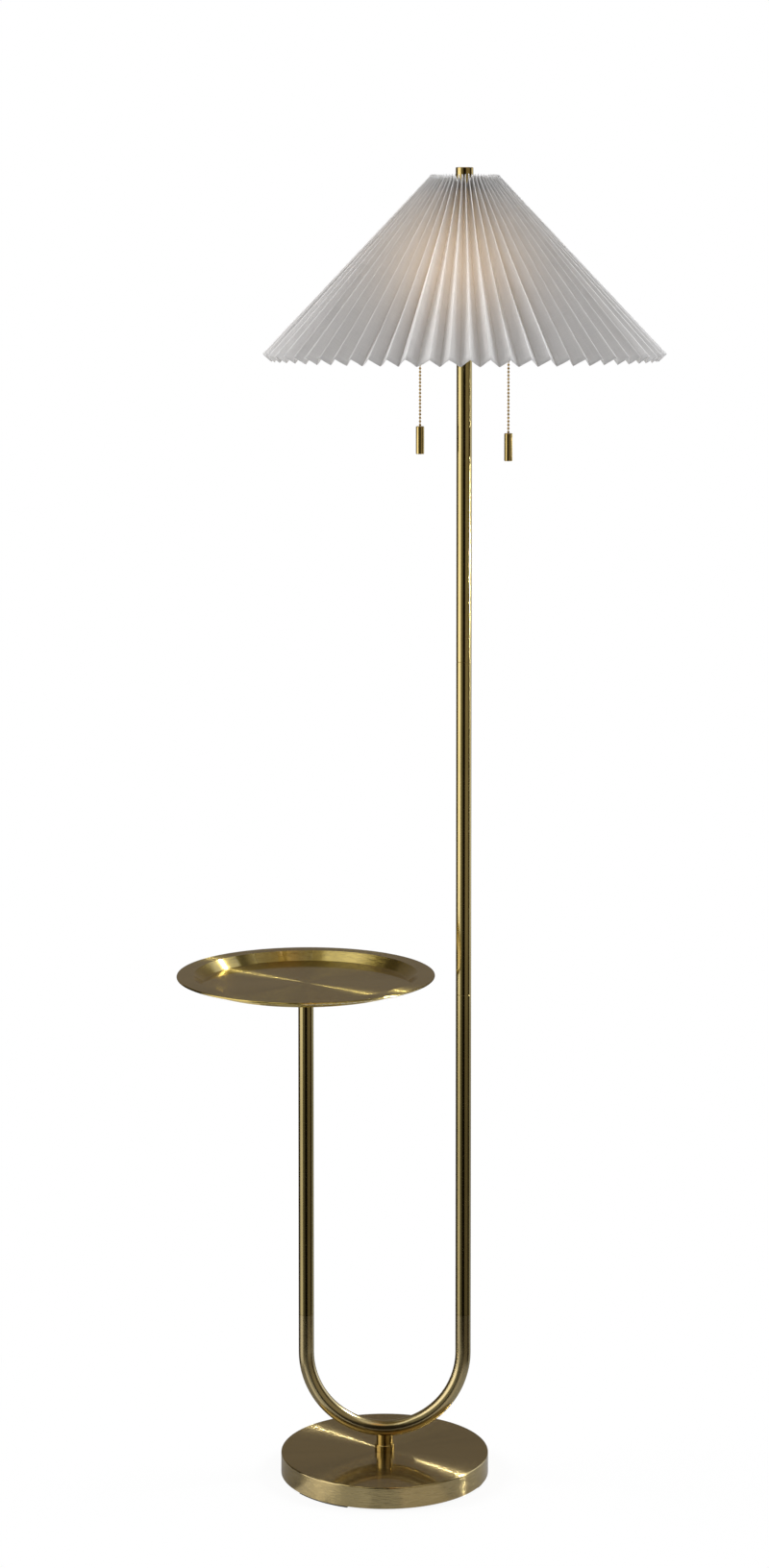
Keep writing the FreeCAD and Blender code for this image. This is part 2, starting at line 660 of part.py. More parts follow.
def buildHead():
    outside = "dims.headDiameter / 2"
    cavity = "dims.headCavity / 2"
    lead = "dims.connectorBore / 2"
    roof = "(dims.headHeight - dims.headWall)"
    riserClear = "(dims.riserDiameter / 2 + dims.shaftGap)"
    head = turnedBody("head_body", [
        (lead, "-dims.spigotLength"),
        (connectorRadius, "-dims.spigotLength"),
        (connectorRadius, "0"),
        (f"{outside} - dims.headEdge", "0"),
        (outside, "dims.headEdge"),
        (outside, "dims.headHeight - dims.headEdge"),
        (f"{outside} - dims.headEdge", "dims.headHeight"),
        (riserClear, "dims.headHeight"),
        (riserClear, roof),
        (cavity, roof),
        (cavity, "dims.headWall"),
        (lead, "dims.headWall"),
    ])
    ports = newSketch(head, "arm_ports", "YZ_Plane")
    addCircle(ports, "0", "dims.headHeight / 2", "dims.armDiameter / 2 + dims.shaftGap")
    cutThrough(head, ports, "arm_ports_cut", "2 * dims.headDiameter", bothWays=True)
    place(head, x="dims.bendRadius", z=poleTop)

    riser = turnedBody("riser_rod", [
        ("0", roof),
        ("dims.riserDiameter / 2", roof),
        ("dims.riserDiameter / 2", shoulder),
        (studRadius, shoulder),
        (studRadius, f"{shoulder} + dims.studLength - dims.seamChamfer"),
        (f"{studRadius} - dims.seamChamfer", f"{shoulder} + dims.studLength"),
        ("0", f"{shoulder} + dims.studLength"),
    ])
    place(riser, x="dims.bendRadius", z=poleTop)

    seat = ringBody("shade_seat", f"{studRadius} + dims.shaftGap", "dims.seatDiameter / 2",
                    "0", "dims.seatThickness", "dims.seamChamfer")
    place(seat, x="dims.bendRadius", z=f"{poleTop} + {shoulder}")

    cap = turnedBody("finial_cap", [
        (f"{studRadius} + dims.shaftGap", "0"),
        ("dims.capDiameter / 2 - dims.capEdge", "0"),
        ("dims.capDiameter / 2", "dims.capEdge"),
        ("dims.capDiameter / 2", "dims.capHeight - dims.capEdge"),
        ("dims.capDiameter / 2 - dims.capEdge", "dims.capHeight"),
        ("0", "dims.capHeight"),
        ("0", "dims.capDepth"),
        (f"{studRadius} + dims.shaftGap", "dims.capDepth"),
    ])
    place(cap, x="dims.bendRadius", z=capBottom)
    keep(head, riser, seat, cap)


# sockets, bulbs and pull chains

def buildSocket(side, turn):
    """One socket with its bulb, switch and chain, built for the right and turned for the left."""
    outward = "1" if turn == 0 else "-1"

    def aboutPole(body, z):
        """Seats a piece that is drawn from the pole axis."""
        body.Placement = FreeCAD.Placement(Vector(0, 0, 0), Rotation(Vector(0, 0, 1), turn))
        keep(place(body, x="dims.bendRadius", z=z))

    def aboutSocket(body, z=socketBottom, distance="dims.socketOffset"):
        """Seats a piece that is drawn from its own axis, out from the pole."""
        body.Placement = FreeCAD.Placement(Vector(0, 0, 0), Rotation(Vector(0, 0, 1), turn))
        keep(place(body, x=f"dims.bendRadius + {outward} * ({distance})", z=z))

    armLevel = "dims.headHeight / 2"
    armStart = "(dims.headDiameter / 2 - 2.5)"
    armTurn = f"({armLevel} + dims.armBend)"
    arm = sweptBody(f"{side}_arm", [
        (armStart, armLevel),
        ("dims.socketOffset - dims.armBend", armLevel, "dims.armBend", -1),
        ("dims.socketOffset", armTurn),
        ("dims.socketOffset", "dims.armTop"),
    ], "0", armLevel, "dims.armDiameter / 2", "dims.armBore / 2", "YZ_Plane", armStart)
    aboutPole(arm, poleTop)

    hub = "dims.hubDiameter / 2"
    armClear = "(dims.armDiameter / 2 + dims.slipGap)"
    skirtInside = f"({shellRadius} + dims.slipGap)"
    skirtOutside = f"({skirtInside} + dims.socketSheet)"
    domeTop = "(dims.hubHeight + dims.domeHeight)"
    skirtTop = f"({domeTop} + dims.skirtHeight)"
    cap = turnedSolid(f"{side}_socket_cap", [
        (armClear, "0"),
        (hub, "0"),
        (hub, "dims.hubHeight", "dims.domeRadius", -1),
        (skirtOutside, domeTop),
        (skirtOutside, skirtTop),
        (skirtInside, skirtTop),
        (skirtInside, f"{domeTop} + dims.socketSheet", "dims.domeRadius - dims.socketSheet", 1),
        (f"{hub} - dims.socketSheet", "dims.hubHeight + dims.socketSheet"),
        (armClear, "dims.hubHeight + dims.socketSheet"),
    ])
    aboutSocket(cap)

    def guideHole(body, name):
        hole = newSketch(body, name, "YZ_Plane")
        addCircle(hole, "0", guideLevel, "dims.guideDiameter / 2 + 2 * dims.slipGap")
        cutThrough(body, hole, f"{name}_cut", shellRadius, backwards=True)

    shell = ringBody(f"{side}_socket_shell", f"{shellRadius} - dims.socketSheet", shellRadius,
                     "dims.shellBottom", "dims.shellTop")
    guideHole(shell, f"{side}_shell_window")
    aboutSocket(shell)

    liner = ringBody(f"{side}_socket_liner", f"{linerOutside} - dims.linerThickness", linerOutside,
                     "dims.shellBottom + 1", "dims.shellTop - 1")
    guideHole(liner, f"{side}_liner_window")
    aboutSocket(liner)

    core = ringBody(f"{side}_socket_core", "0", coreRadius, "dims.coreBottom", coreTop)
    drumRadius = "dims.drumDiameter / 2"
    slot = newSketch(core, f"{side}_drum_slot", "XZ_Plane")
    slotBack = f"(dims.drumOffset - {drumRadius} - dims.slotGap)"
    slotBottom = f"(dims.drumHeight - {drumRadius} - dims.slotGap)"
    slotTop = f"({guideLevel} + dims.beadDiameter / 2 + dims.slotGap)"
    addOutline(slot, [
        (slotBack, slotBottom), (f"{coreRadius} + 1", slotBottom),
        (f"{coreRadius} + 1", slotTop), (slotBack, slotTop),
    ])
    cutThrough(core, slot, f"{side}_drum_slot_cut", "dims.drumThickness + 2 * dims.slotGap", bothWays=True)
    shaftHole = newSketch(core, f"{side}_shaft_hole", "XZ_Plane")
    addCircle(shaftHole, "dims.drumOffset", "dims.drumHeight", "dims.drumShaft / 2 + dims.shaftGap")
    cutThrough(core, shaftHole, f"{side}_shaft_hole_cut", "dims.shellDiameter", bothWays=True)
    aboutSocket(core)

    drum = newBody(f"{side}_switch_drum")
    disc = newSketch(drum, f"{side}_drum_disc", "XZ_Plane")
    addCircle(disc, "0", "0", drumRadius)
    discPad = drum.newObject("PartDesign::Pad", f"{side}_drum_pad")
    discPad.Profile = disc
    discPad.Midplane = True
    discPad.setExpression("Length", "dims.drumThickness")
    shaft = newSketch(drum, f"{side}_drum_shaft", "XZ_Plane")
    addCircle(shaft, "0", "0", "dims.drumShaft / 2")
    shaftPad = drum.newObject("PartDesign::Pad", f"{side}_shaft_pad")
    shaftPad.Profile = shaft
    shaftPad.Midplane = True
    shaftPad.setExpression("Length", "3 * dims.drumThickness")
    hook = newSketch(drum, f"{side}_drum_hook", "XZ_Plane")
    addCircle(hook, "0", f"{drumRadius} - 1.5", "dims.linkDiameter / 2 + dims.shaftGap")
    cutThrough(drum, hook, f"{side}_drum_hook_cut", "2 * dims.drumThickness", bothWays=True)
    aboutSocket(drum, f"{socketBottom} + dims.drumHeight", "dims.socketOffset + dims.drumOffset")

    contact = ringBody(f"{side}_socket_contact", "0", "dims.contactDiameter / 2",
                       coreTop, f"({coreTop} + dims.contactThickness)")
    aboutSocket(contact)

    screwOutside = "dims.screwShellDiameter / 2"
    screwInside = f"({screwOutside} - dims.screwShellSheet)"
    screwShell = turnedBody(f"{side}_screw_shell", [
        (f"{screwOutside} - 3", coreTop),
        (screwOutside, coreTop),
        (screwOutside, "dims.shellTop"),
        (screwInside, "dims.shellTop"),
        (screwInside, f"{coreTop} + dims.screwShellSheet"),
        (f"{screwOutside} - 3", f"{coreTop} + dims.screwShellSheet"),
    ])
    aboutSocket(screwShell)

    guideStart = f"({coreRadius} + dims.slipGap)"
    guideTurn = "(dims.chainOffset - dims.guideBend)"
    guide = sweptBody(f"{side}_chain_guide", [
        (guideStart, guideLevel),
        (guideTurn, guideLevel, "dims.guideBend", 1),
        ("dims.chainOffset", guideStraightTop),
        ("dims.chainOffset", "dims.guideMouth"),
    ], "0", guideLevel, "dims.guideDiameter / 2", "dims.guideBore / 2", "YZ_Plane", guideStart)
    aboutSocket(guide)

    buildBulb(side, aboutSocket)
    buildChain(side, aboutSocket)


def buildBulb(side, aboutSocket):
    radius = "dims.bulbDiameter / 2"
    neck = "dims.bulbNeck / 2"
    wall = "dims.glassThickness"
    inner = f"({radius} - {wall})"
    glass = turnedSolid(f"{side}_bulb_glass", [
        (neck, "dims.bulbNeckBottom", "dims.bulbNeckRound", 1),
        (f"{radius} * cos(dims.bulbNeckAngle)", f"dims.bulbCentre - {radius} * sin(dims.bulbNeckAngle)",
         radius, -1),
        (radius, "dims.bulbCentre", radius, -1),
        ("0", f"dims.bulbCentre + {radius}"),
        ("0", f"dims.bulbCentre + {inner}", inner, 1),
        (inner, "dims.bulbCentre", inner, 1),
        (f"{inner} * cos(dims.bulbNeckAngle)", f"dims.bulbCentre - {inner} * sin(dims.bulbNeckAngle)",
         f"dims.bulbNeckRound + {wall}", -1),
        (f"{neck} - {wall}", "dims.bulbNeckBottom"),
    ])
    aboutSocket(glass)

    outside = "dims.bulbBaseDiameter / 2"
    bottom = f"({coreTop} + dims.contactThickness + dims.turnGap)"
    coneTop = f"({bottom} + dims.bulbBaseCone)"
    corners = [
        ("0", bottom),
        ("dims.bulbTip / 2", bottom),
        (f"{outside} - dims.threadDepth", coneTop),
    ]
    for turn in range(4):
        rise = f"{coneTop} + {turn} * dims.threadPitch"
        corners.append((outside, f"{rise} + dims.threadPitch / 4"))
        corners.append((outside, f"{rise} + dims.threadPitch / 2"))
        corners.append((f"{outside} - dims.threadDepth", f"{rise} + dims.threadPitch * 3 / 4"))
    seat = f"({neck} - {wall} - dims.slipGap)"
    collarTop = "(dims.bulbNeckBottom - dims.turnGap)"
    corners += [
        (f"{outside} - dims.threadDepth", collarTop),
        (seat, collarTop),
        (seat, "dims.bulbBaseTop"),
        ("0", "dims.bulbBaseTop"),
    ]
    aboutSocket(turnedBody(f"{side}_bulb_base", corners))


def buildChain(side, aboutSocket):
    """A ball chain: the beads in the guide slide with it, the ones below can swing."""
    hanging = "dims.socketOffset + dims.chainOffset"

    def beads(label, count, firstBead, tailAbove, tailBelow):
        """A link rod with a row of beads on it. Z is zero at the first bead."""
        body = newBody(label)
        length = f"(({count} - 1) * dims.beadPitch)"
        outline = newSketch(body, f"{label}_link")
        link = "dims.linkDiameter / 2"
        addOutline(outline, [
            ("0", f"-({length} + {tailBelow})"), (link, f"-({length} + {tailBelow})"),
            (link, tailAbove), ("0", tailAbove),
        ])
        rod = body.newObject("PartDesign::Revolution", f"{label}_rod")
        rod.Profile = outline
        rod.ReferenceAxis = (outline, ["V_Axis"])
        rod.Angle = 360
        bead = body.newObject("PartDesign::AdditiveSphere", f"{label}_bead")
        bead.setExpression("Radius", "dims.beadDiameter / 2")
        doc.recompute()
        row = body.newObject("PartDesign::LinearPattern", f"{label}_row")
        row.Originals = [bead]
        row.Direction = (originPlane(body, "Z_Axis"), [""])
        row.Reversed = True
        row.setExpression("Length", length)
        row.setExpression("Occurrences", count)
        body.Tip = row
        aboutSocket(body, firstBead, hanging)

    lastTopBead = f"({topBead} - (dims.topBeads - 1) * dims.beadPitch)"
    beads(f"{side}_chain_top", "dims.topBeads", f"{socketBottom} + {topBead}",
          "0", f"({lastTopBead} - {chainPivot})")

    count = f"dims.{side}Beads"
    firstBead = f"({chainPivot} - dims.beadDiameter / 2 - dims.turnGap - 0.5)"
    beads(f"{side}_chain", count, f"{socketBottom} + {firstBead}",
          f"({chainPivot} - {firstBead} - dims.turnGap)", "0.1")

    lastBead = f"({firstBead} - ({count} - 1) * dims.beadPitch)"
    half = "dims.pullDiameter / 2"
    holeRadius = "dims.pullHole / 2"
    pull = turnedBody(f"{side}_pull", [
        ("0", "0"),
        (f"{half} - dims.pullEdge", "0"),
        (half, "dims.pullEdge"),
        (half, "dims.pullLength - dims.pullEdge"),
        (f"{half} - dims.pullEdge", "dims.pullLength"),
        (holeRadius, "dims.pullLength"),
        (holeRadius, "dims.pullLength - dims.pullHoleDepth"),
        ("0", "dims.pullLength - dims.pullHoleDepth"),
    ])
    beadSeat = "(dims.pullLength - dims.pullHoleDepth + dims.beadDiameter / 2 + dims.turnGap)"
    aboutSocket(pull, f"{socketBottom} + {lastBead} - {beadSeat}", hanging)


# shade

class ShadeLines:
    """The two straight lines that the pleats follow, as (radius, height) ends."""

    def __init__(self):
        top = sizeOf(f"{seatTop} + dims.shadeAboveSeat")
        self.ridgeTop = Vector(sizeOf("dims.shadeTopDiameter / 2"), 0, top)
        self.ridgeBottom = Vector(sizeOf("dims.shadeBottomDiameter / 2"), 0, top - sizeOf("dims.shadeHeight"))
        spread = self.ridgeBottom.x - self.ridgeTop.x
        lean = spread / sizeOf("dims.shadeHeight")
        # the strip is cut square to its folds, so a fold that lies further in ends lower
        self.valleyTop = self.foldedIn(self.ridgeTop, sizeOf("dims.pleatTopDepth"), lean)
        self.valleyBottom = self.foldedIn(self.ridgeBottom, sizeOf("dims.pleatBottomDepth"), lean)
        along = (self.valleyBottom - self.valleyTop).normalize()
        self.along = along
        self.inward = Vector(along.z, 0, -along.x)

    def foldedIn(self, point, depth, lean):
        return Vector(point.x - depth, 0, point.z - depth * lean)


def aroundPole(point, angle):
    """A (radius, height) point turned to an angle about the pole."""
    pole = sizeOf("dims.bendRadius")
    return Vector(pole + point.x * math.cos(angle), point.x * math.sin(angle), point.z)


def buildShadeCover(lines):
    """A pleated band of even thickness: folds out and in by turns, closed to a ring."""
    count = round(sizeOf("dims.pleatCount"))
    thickness = lines.inward * sizeOf("dims.fabricThickness")
    outer, inner = [], []
    for number in range(2 * count):
        angle = math.pi * number / count
        outFold = number % 2 == 0
        top = lines.ridgeTop if outFold else lines.valleyTop
        bottom = lines.ridgeBottom if outFold else lines.valleyBottom
        outer.append((aroundPole(top, angle), aroundPole(bottom, angle)))
        inner.append((aroundPole(top + thickness, angle), aroundPole(bottom + thickness, angle)))

    faces = []

    def triangle(*corners):
        faces.append(Part.Face(Part.makePolygon([*corners, corners[0]])))

    def panel(a, b, c, d):
        triangle(a, b, c)
        triangle(a, c, d)

    for number in range(2 * count):
        after = (number + 1) % (2 * count)
        panel(outer[number][0], outer[number][1], outer[after][1], outer[after][0])
        panel(inner[number][0], inner[after][0], inner[after][1], inner[number][1])
        panel(outer[number][0], outer[after][0], inner[after][0], inner[number][0])
        panel(outer[number][1], inner[number][1], inner[after][1], outer[after][1])
    solid = Part.makeSolid(Part.makeShell(faces))
    cover = doc.addObject("Part::Feature", "shade_cover")
    cover.Shape = solid
    keep(cover)


def buildShadeFrame(lines):
    """An upper ring, straight wires, three carrying arms and a hub, and the lower ring that the
    straight wires are welded to."""
    wire = sizeOf("dims.wireDiameter / 2")
    strut = sizeOf("dims.strutDiameter / 2")
    standOff = lines.inward * (sizeOf("dims.fabricThickness + dims.softGap") + wire)
    upper = lines.valleyTop + lines.along * sizeOf("dims.upperRingInset") + standOff
    lower = lines.valleyBottom - lines.along * sizeOf("dims.lowerRingInset") + standOff

    def rod(start, end):
        along = end - start
        return Part.makeCylinder(strut, along.Length, start, along)

    pole = Vector(sizeOf("dims.bendRadius"), 0, 0)
    hubBase = sizeOf(hubBottom)
    hubThickness = sizeOf("dims.shadeHubThickness")
    hubRadius = sizeOf("dims.shadeHubDiameter / 2")
    hub = Part.makeCylinder(hubRadius, hubThickness, pole + Vector(0, 0, hubBase))
    hole = Part.makeCylinder(sizeOf(f"{studRadius} + dims.shaftGap"), hubThickness,
                             pole + Vector(0, 0, hubBase))
    lowerRing = Part.makeTorus(lower.x, wire, pole + Vector(0, 0, lower.z))
    pieces = [Part.makeTorus(upper.x, wire, pole + Vector(0, 0, upper.z))]
    strutCount = round(sizeOf("dims.strutCount"))
    for number in range(strutCount):
        angle = 2 * math.pi * number / strutCount
        pieces.append(rod(aroundPole(upper, angle), aroundPole(lower, angle)))
    armCount = round(sizeOf("dims.spiderArms"))
    armStart = Vector(hubRadius - strut, 0, hubBase + hubThickness / 2)
    for number in range(armCount):
        angle = 2 * math.pi * (number + 0.5) / armCount
        pieces.append(rod(aroundPole(armStart, angle), aroundPole(upper, angle)))
    frame = doc.addObject("Part::Feature", "shade_frame")
    frame.Shape = hub.multiFuse(pieces).cut([hole, lowerRing])
    ring = doc.addObject("Part::Feature", "shade_lower_ring")
    ring.Shape = lowerRing
    keep(frame, ring)


# all pieces

buildBase()
buildCoverScrews()
buildFootPads()
buildInletGrommet()
buildStem()
buildStemSleeve()
buildBend()
buildTubes()
buildConnectors()
buildTray()
buildHead()
buildSocket("left", 180)
buildSocket("right", 0)
shadeLines = ShadeLines()
buildShadeCover(shadeLines)
buildShadeFrame(shadeLines)
doc.recompute()

failed = [item.Name for item in doc.Objects if "Invalid" in item.State or "Error" in item.State]
if failed:
    raise RuntimeError(f"objects that did not build: {failed}")
for part in parts:
    if part.Shape.isNull() or not part.Shape.isValid() or not part.Shape.Solids:
        raise RuntimeError(f"{part.Label} has no valid solid")

os.makedirs("parts", exist_ok=True)
for part in parts:
    part.Shape.exportStep(os.path.join("parts", f"{part.Label}.step"))
print(f"{len(parts)} nodes written")
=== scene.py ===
import json
import math

import bpy
import numpy as np
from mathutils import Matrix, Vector


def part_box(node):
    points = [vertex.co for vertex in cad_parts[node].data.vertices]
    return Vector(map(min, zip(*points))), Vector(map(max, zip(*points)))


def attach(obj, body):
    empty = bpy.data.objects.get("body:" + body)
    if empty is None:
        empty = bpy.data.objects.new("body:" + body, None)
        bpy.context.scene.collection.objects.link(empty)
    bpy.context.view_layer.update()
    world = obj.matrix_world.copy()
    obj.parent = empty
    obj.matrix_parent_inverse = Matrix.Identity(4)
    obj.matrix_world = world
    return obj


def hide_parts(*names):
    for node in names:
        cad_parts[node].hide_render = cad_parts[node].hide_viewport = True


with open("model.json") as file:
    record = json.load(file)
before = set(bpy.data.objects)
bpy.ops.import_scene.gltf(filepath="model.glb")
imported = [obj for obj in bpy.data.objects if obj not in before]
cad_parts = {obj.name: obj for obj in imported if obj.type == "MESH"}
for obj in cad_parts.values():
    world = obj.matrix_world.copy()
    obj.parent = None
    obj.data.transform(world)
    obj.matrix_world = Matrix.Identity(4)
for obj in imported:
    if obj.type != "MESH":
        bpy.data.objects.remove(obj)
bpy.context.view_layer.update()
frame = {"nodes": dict(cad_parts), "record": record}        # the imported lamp, in metres, at its real size
print("frame loaded:", len(frame["nodes"]), "pieces")


def middleOf(node):
    low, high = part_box(node)
    return (low + high) / 2


poleX = middleOf("pole_lower").x
trayX = middleOf("tray").x


# helpers for node trees

def addNode(tree, kind, **settings):
    node = tree.nodes.new(kind)
    for name, value in settings.items():
        setattr(node, name, value)
    return node


def feed(tree, value, socket):
    # a plain number or colour is set on the socket, anything else is linked to it
    if isinstance(value, bpy.types.NodeSocket):
        tree.links.new(value, socket)
    elif value is not None:
        socket.default_value = value


def compute(tree, operation, first, second=None, third=None):
    node = addNode(tree, "ShaderNodeMath", operation=operation)
    for socket, value in zip(node.inputs, (first, second, third)):
        feed(tree, value, socket)
    return node.outputs[0]


def remap(tree, value, fromLow, fromHigh, toLow, toHigh):
    node = addNode(tree, "ShaderNodeMapRange", interpolation_type="SMOOTHSTEP")
    for socket, entry in zip(node.inputs, (value, fromLow, fromHigh, toLow, toHigh)):
        feed(tree, entry, socket)
    return node.outputs[0]


def fadeIn(tree, value, start, full):
    # 0 at the first value, 1 at the second, and smooth between them
    return remap(tree, value, start, full, 0.0, 1.0)


def remapLinear(tree, value, fromLow, fromHigh):
    node = addNode(tree, "ShaderNodeMapRange")
    for socket, entry in zip(node.inputs, (value, fromLow, fromHigh, 0.0, 1.0)):
        feed(tree, entry, socket)
    return node.outputs[0]


def mixColours(tree, factor, first, second, way="MIX"):
    node = addNode(tree, "ShaderNodeMix", data_type="RGBA", blend_type=way)
    feed(tree, factor, node.inputs[0])
    feed(tree, first, node.inputs[6])
    feed(tree, second, node.inputs[7])
    return node.outputs[2]


def noiseAt(tree, vector, scale, detail=2.0, rough=0.5):
    node = addNode(tree, "ShaderNodeTexNoise")
    feed(tree, vector, node.inputs["Vector"])
    node.inputs["Scale"].default_value = scale
    node.inputs["Detail"].default_value = detail
    node.inputs["Roughness"].default_value = rough
    return node.outputs["Fac"]


def vectorOf(tree, x, y, z):
    node = addNode(tree, "ShaderNodeCombineXYZ")
    for socket, value in zip(node.inputs, (x, y, z)):
        feed(tree, value, socket)
    return node.outputs[0]


def splitVector(tree, vector):
    node = addNode(tree, "ShaderNodeSeparateXYZ")
    tree.links.new(vector, node.inputs[0])
    return node.outputs


def vectorMath(tree, operation, first, second=None):
    node = addNode(tree, "ShaderNodeVectorMath", operation=operation)
    feed(tree, first, node.inputs[0])
    feed(tree, second, node.inputs["Scale" if operation == "SCALE" else 1])
    return node.outputs["Value" if operation == "DOT_PRODUCT" else "Vector"]


def startGroup(name, inputs, outputs, vectors=()):
    group = bpy.data.node_groups.new(name, "ShaderNodeTree")
    for label, value in inputs.items():
        socket = group.interface.new_socket(name=label, in_out="INPUT", socket_type="NodeSocketFloat")
        socket.default_value = value
    for label in outputs:
        group.interface.new_socket(name=label, in_out="OUTPUT", socket_type="NodeSocketFloat")
    for label in vectors:
        group.interface.new_socket(name=label, in_out="OUTPUT", socket_type="NodeSocketVector")
    asked = group.nodes.new("NodeGroupInput").outputs
    given = group.nodes.new("NodeGroupOutput").inputs
    return group, asked, given


def placeGroup(tree, group, **values):
    node = addNode(tree, "ShaderNodeGroup", node_tree=group)
    for name, value in values.items():
        feed(tree, value, node.inputs[name])
    return node.outputs


# effects that the finishes are made of

ringGrain = {
    "ringsPerMetre": 6000.0,
    "around": 9.0,            # how fast a ring's tone changes on its way around
    "detail": 3.0,
    "rough": 0.6,
    "wedges": 2.2,            # how fast the broad wedges change on their way around
    "wedgesOut": 2.0,         # and on their way outwards
    "wedgeDetail": 2.5,
    "looseFrom": 0.47,        # noise at which a ring starts to come loose
    "looseFull": 0.57,        # and from which it is quite loose
    "lean": 4.0,
    "hub": 0.0005,            # metres: the radius never counts as less
}


def makeTurnedGrain():
    # fine rings left by a brush while the disc turned, some of which lean in or out
    group, asked, given = startGroup(
        "turnedGrain",
        {"centreX": 0.0, "centreY": 0.0, "ringsPerMetre": ringGrain["ringsPerMetre"],
         "wedges": ringGrain["wedges"], "lean": ringGrain["lean"]},
        ("Grain", "Wedge", "Loose"), ("Normal",))
    where = addNode(group, "ShaderNodeTexCoord").outputs["Object"]
    x, y, z = splitVector(group, where)
    across = compute(group, "SUBTRACT", x, asked["centreX"])
    deep = compute(group, "SUBTRACT", y, asked["centreY"])
    square = compute(group, "ADD", compute(group, "MULTIPLY", across, across),
                     compute(group, "MULTIPLY", deep, deep))
    radius = compute(group, "MAXIMUM", compute(group, "SQRT", square), ringGrain["hub"])
    cosine = compute(group, "DIVIDE", across, radius)
    sine = compute(group, "DIVIDE", deep, radius)
    ring = compute(group, "MULTIPLY", compute(group, "ADD", radius, z), asked["ringsPerMetre"])
    rings = vectorOf(group, ring, compute(group, "MULTIPLY", cosine, ringGrain["around"]),
                     compute(group, "MULTIPLY", sine, ringGrain["around"]))
    texture = addNode(group, "ShaderNodeTexNoise")
    feed(group, rings, texture.inputs["Vector"])
    texture.inputs["Scale"].default_value = 1.0
    texture.inputs["Detail"].default_value = ringGrain["detail"]
    texture.inputs["Roughness"].default_value = ringGrain["rough"]
    tints = addNode(group, "ShaderNodeSeparateColor")
    feed(group, texture.outputs["Color"], tints.inputs[0])
    feed(group, texture.outputs["Fac"], given["Grain"])
    fan = vectorOf(group, compute(group, "MULTIPLY", cosine, asked["wedges"]),
                   compute(group, "MULTIPLY", sine, asked["wedges"]),
                   compute(group, "MULTIPLY", radius, ringGrain["wedgesOut"]))
    wedge = noiseAt(group, fan, 1.0, ringGrain["wedgeDetail"], ringGrain["rough"])
    feed(group, wedge, given["Wedge"])
    # most of the surface stays flat, and the loose rings lean far in or out
    loose = fadeIn(group, tints.outputs[1], ringGrain["looseFrom"], ringGrain["looseFull"])
    feed(group, loose, given["Loose"])
    flat = addNode(group, "ShaderNodeNewGeometry").outputs["Normal"]
    around = vectorOf(group, compute(group, "MULTIPLY", sine, -1.0), cosine, 0.0)
    outward = vectorMath(group, "CROSS_PRODUCT", around, flat)
    off = compute(group, "MULTIPLY", compute(group, "SUBTRACT", tints.outputs[2], 0.5), loose)
    leaning = vectorMath(group, "SCALE", outward, compute(group, "MULTIPLY", off, asked["lean"]))
    tilted = vectorMath(group, "ADD", flat, leaning)
    feed(group, vectorMath(group, "NORMALIZE", tilted), given["Normal"])
    return group


def makeDrawnGrain():
    # fine straight lines along a drawn tube
    group, asked, given = startGroup(
        "drawnGrain", {"linesPerMetre": 1500.0, "stretch": 0.01}, ("Grain",))
    where = addNode(group, "ShaderNodeTexCoord").outputs["Object"]
    x, y, z = splitVector(group, where)
    scale = asked["linesPerMetre"]
    slow = compute(group, "MULTIPLY", scale, asked["stretch"])
    lines = vectorOf(group, compute(group, "MULTIPLY", x, scale),
                     compute(group, "MULTIPLY", y, scale),
                     compute(group, "MULTIPLY", z, slow))
    feed(group, noiseAt(group, lines, 1.0, detail=2.0, rough=0.6), given["Grain"])
    return group


handMarks = {
    "cloudsPerMetre": 9.0,
    "smudgesPerMetre": 55.0,
    "smudgeFrom": 0.52,       # noise at which a smudge starts
    "smudgeFull": 0.72,
}


def makePatina():
    # slow clouds of darker lacquer, and small smudges where hands have been
    group, asked, given = startGroup(
        "patina",
        {"cloudsPerMetre": handMarks["cloudsPerMetre"], "smudgesPerMetre": handMarks["smudgesPerMetre"]},
        ("Cloud", "Smudge"))
    where = addNode(group, "ShaderNodeTexCoord").outputs["Object"]
    clouds = vectorMath(group, "SCALE", where, asked["cloudsPerMetre"])
    feed(group, noiseAt(group, clouds, 1.0, detail=4.0, rough=0.55), given["Cloud"])
    smudges = vectorMath(group, "SCALE", where, asked["smudgesPerMetre"])
    spots = noiseAt(group, smudges, 1.0, detail=5.0, rough=0.65)
    feed(group, fadeIn(group, spots, handMarks["smudgeFrom"], handMarks["smudgeFull"]), given["Smudge"])
    return group


edgeFind = {
    "width": 0.0006,          # metres
    "samples": 4,
    "flat": 0.97,             # how alike the rounded and the flat normal are where no edge is
    "edge": 0.80,             # and on an edge
}


# the edges that this finds get a painted highlight on most finishes, and go darker on tubes
def makeEdgeMask():
    # 1 on the edges, where the rounded normal leaves the flat one
    group, asked, given = startGroup("edgeMask", {"width": edgeFind["width"]}, ("Edge",))
    rounded = addNode(group, "ShaderNodeBevel", samples=edgeFind["samples"])
    feed(group, asked["width"], rounded.inputs["Radius"])
    flat = addNode(group, "ShaderNodeNewGeometry").outputs["Normal"]
    alike = vectorMath(group, "DOT_PRODUCT", rounded.outputs[0], flat)
    feed(group, fadeIn(group, alike, edgeFind["flat"], edgeFind["edge"]), given["Edge"])
    return group


weave = {
    "threadsPerMetre": 1900.0,
    "warpSlubs": (900.0, 40.0),    # thick places per metre along the strip and along the folds
    "weftSlubs": (60.0, 1100.0),
    "slubDetail": 3.0,
}


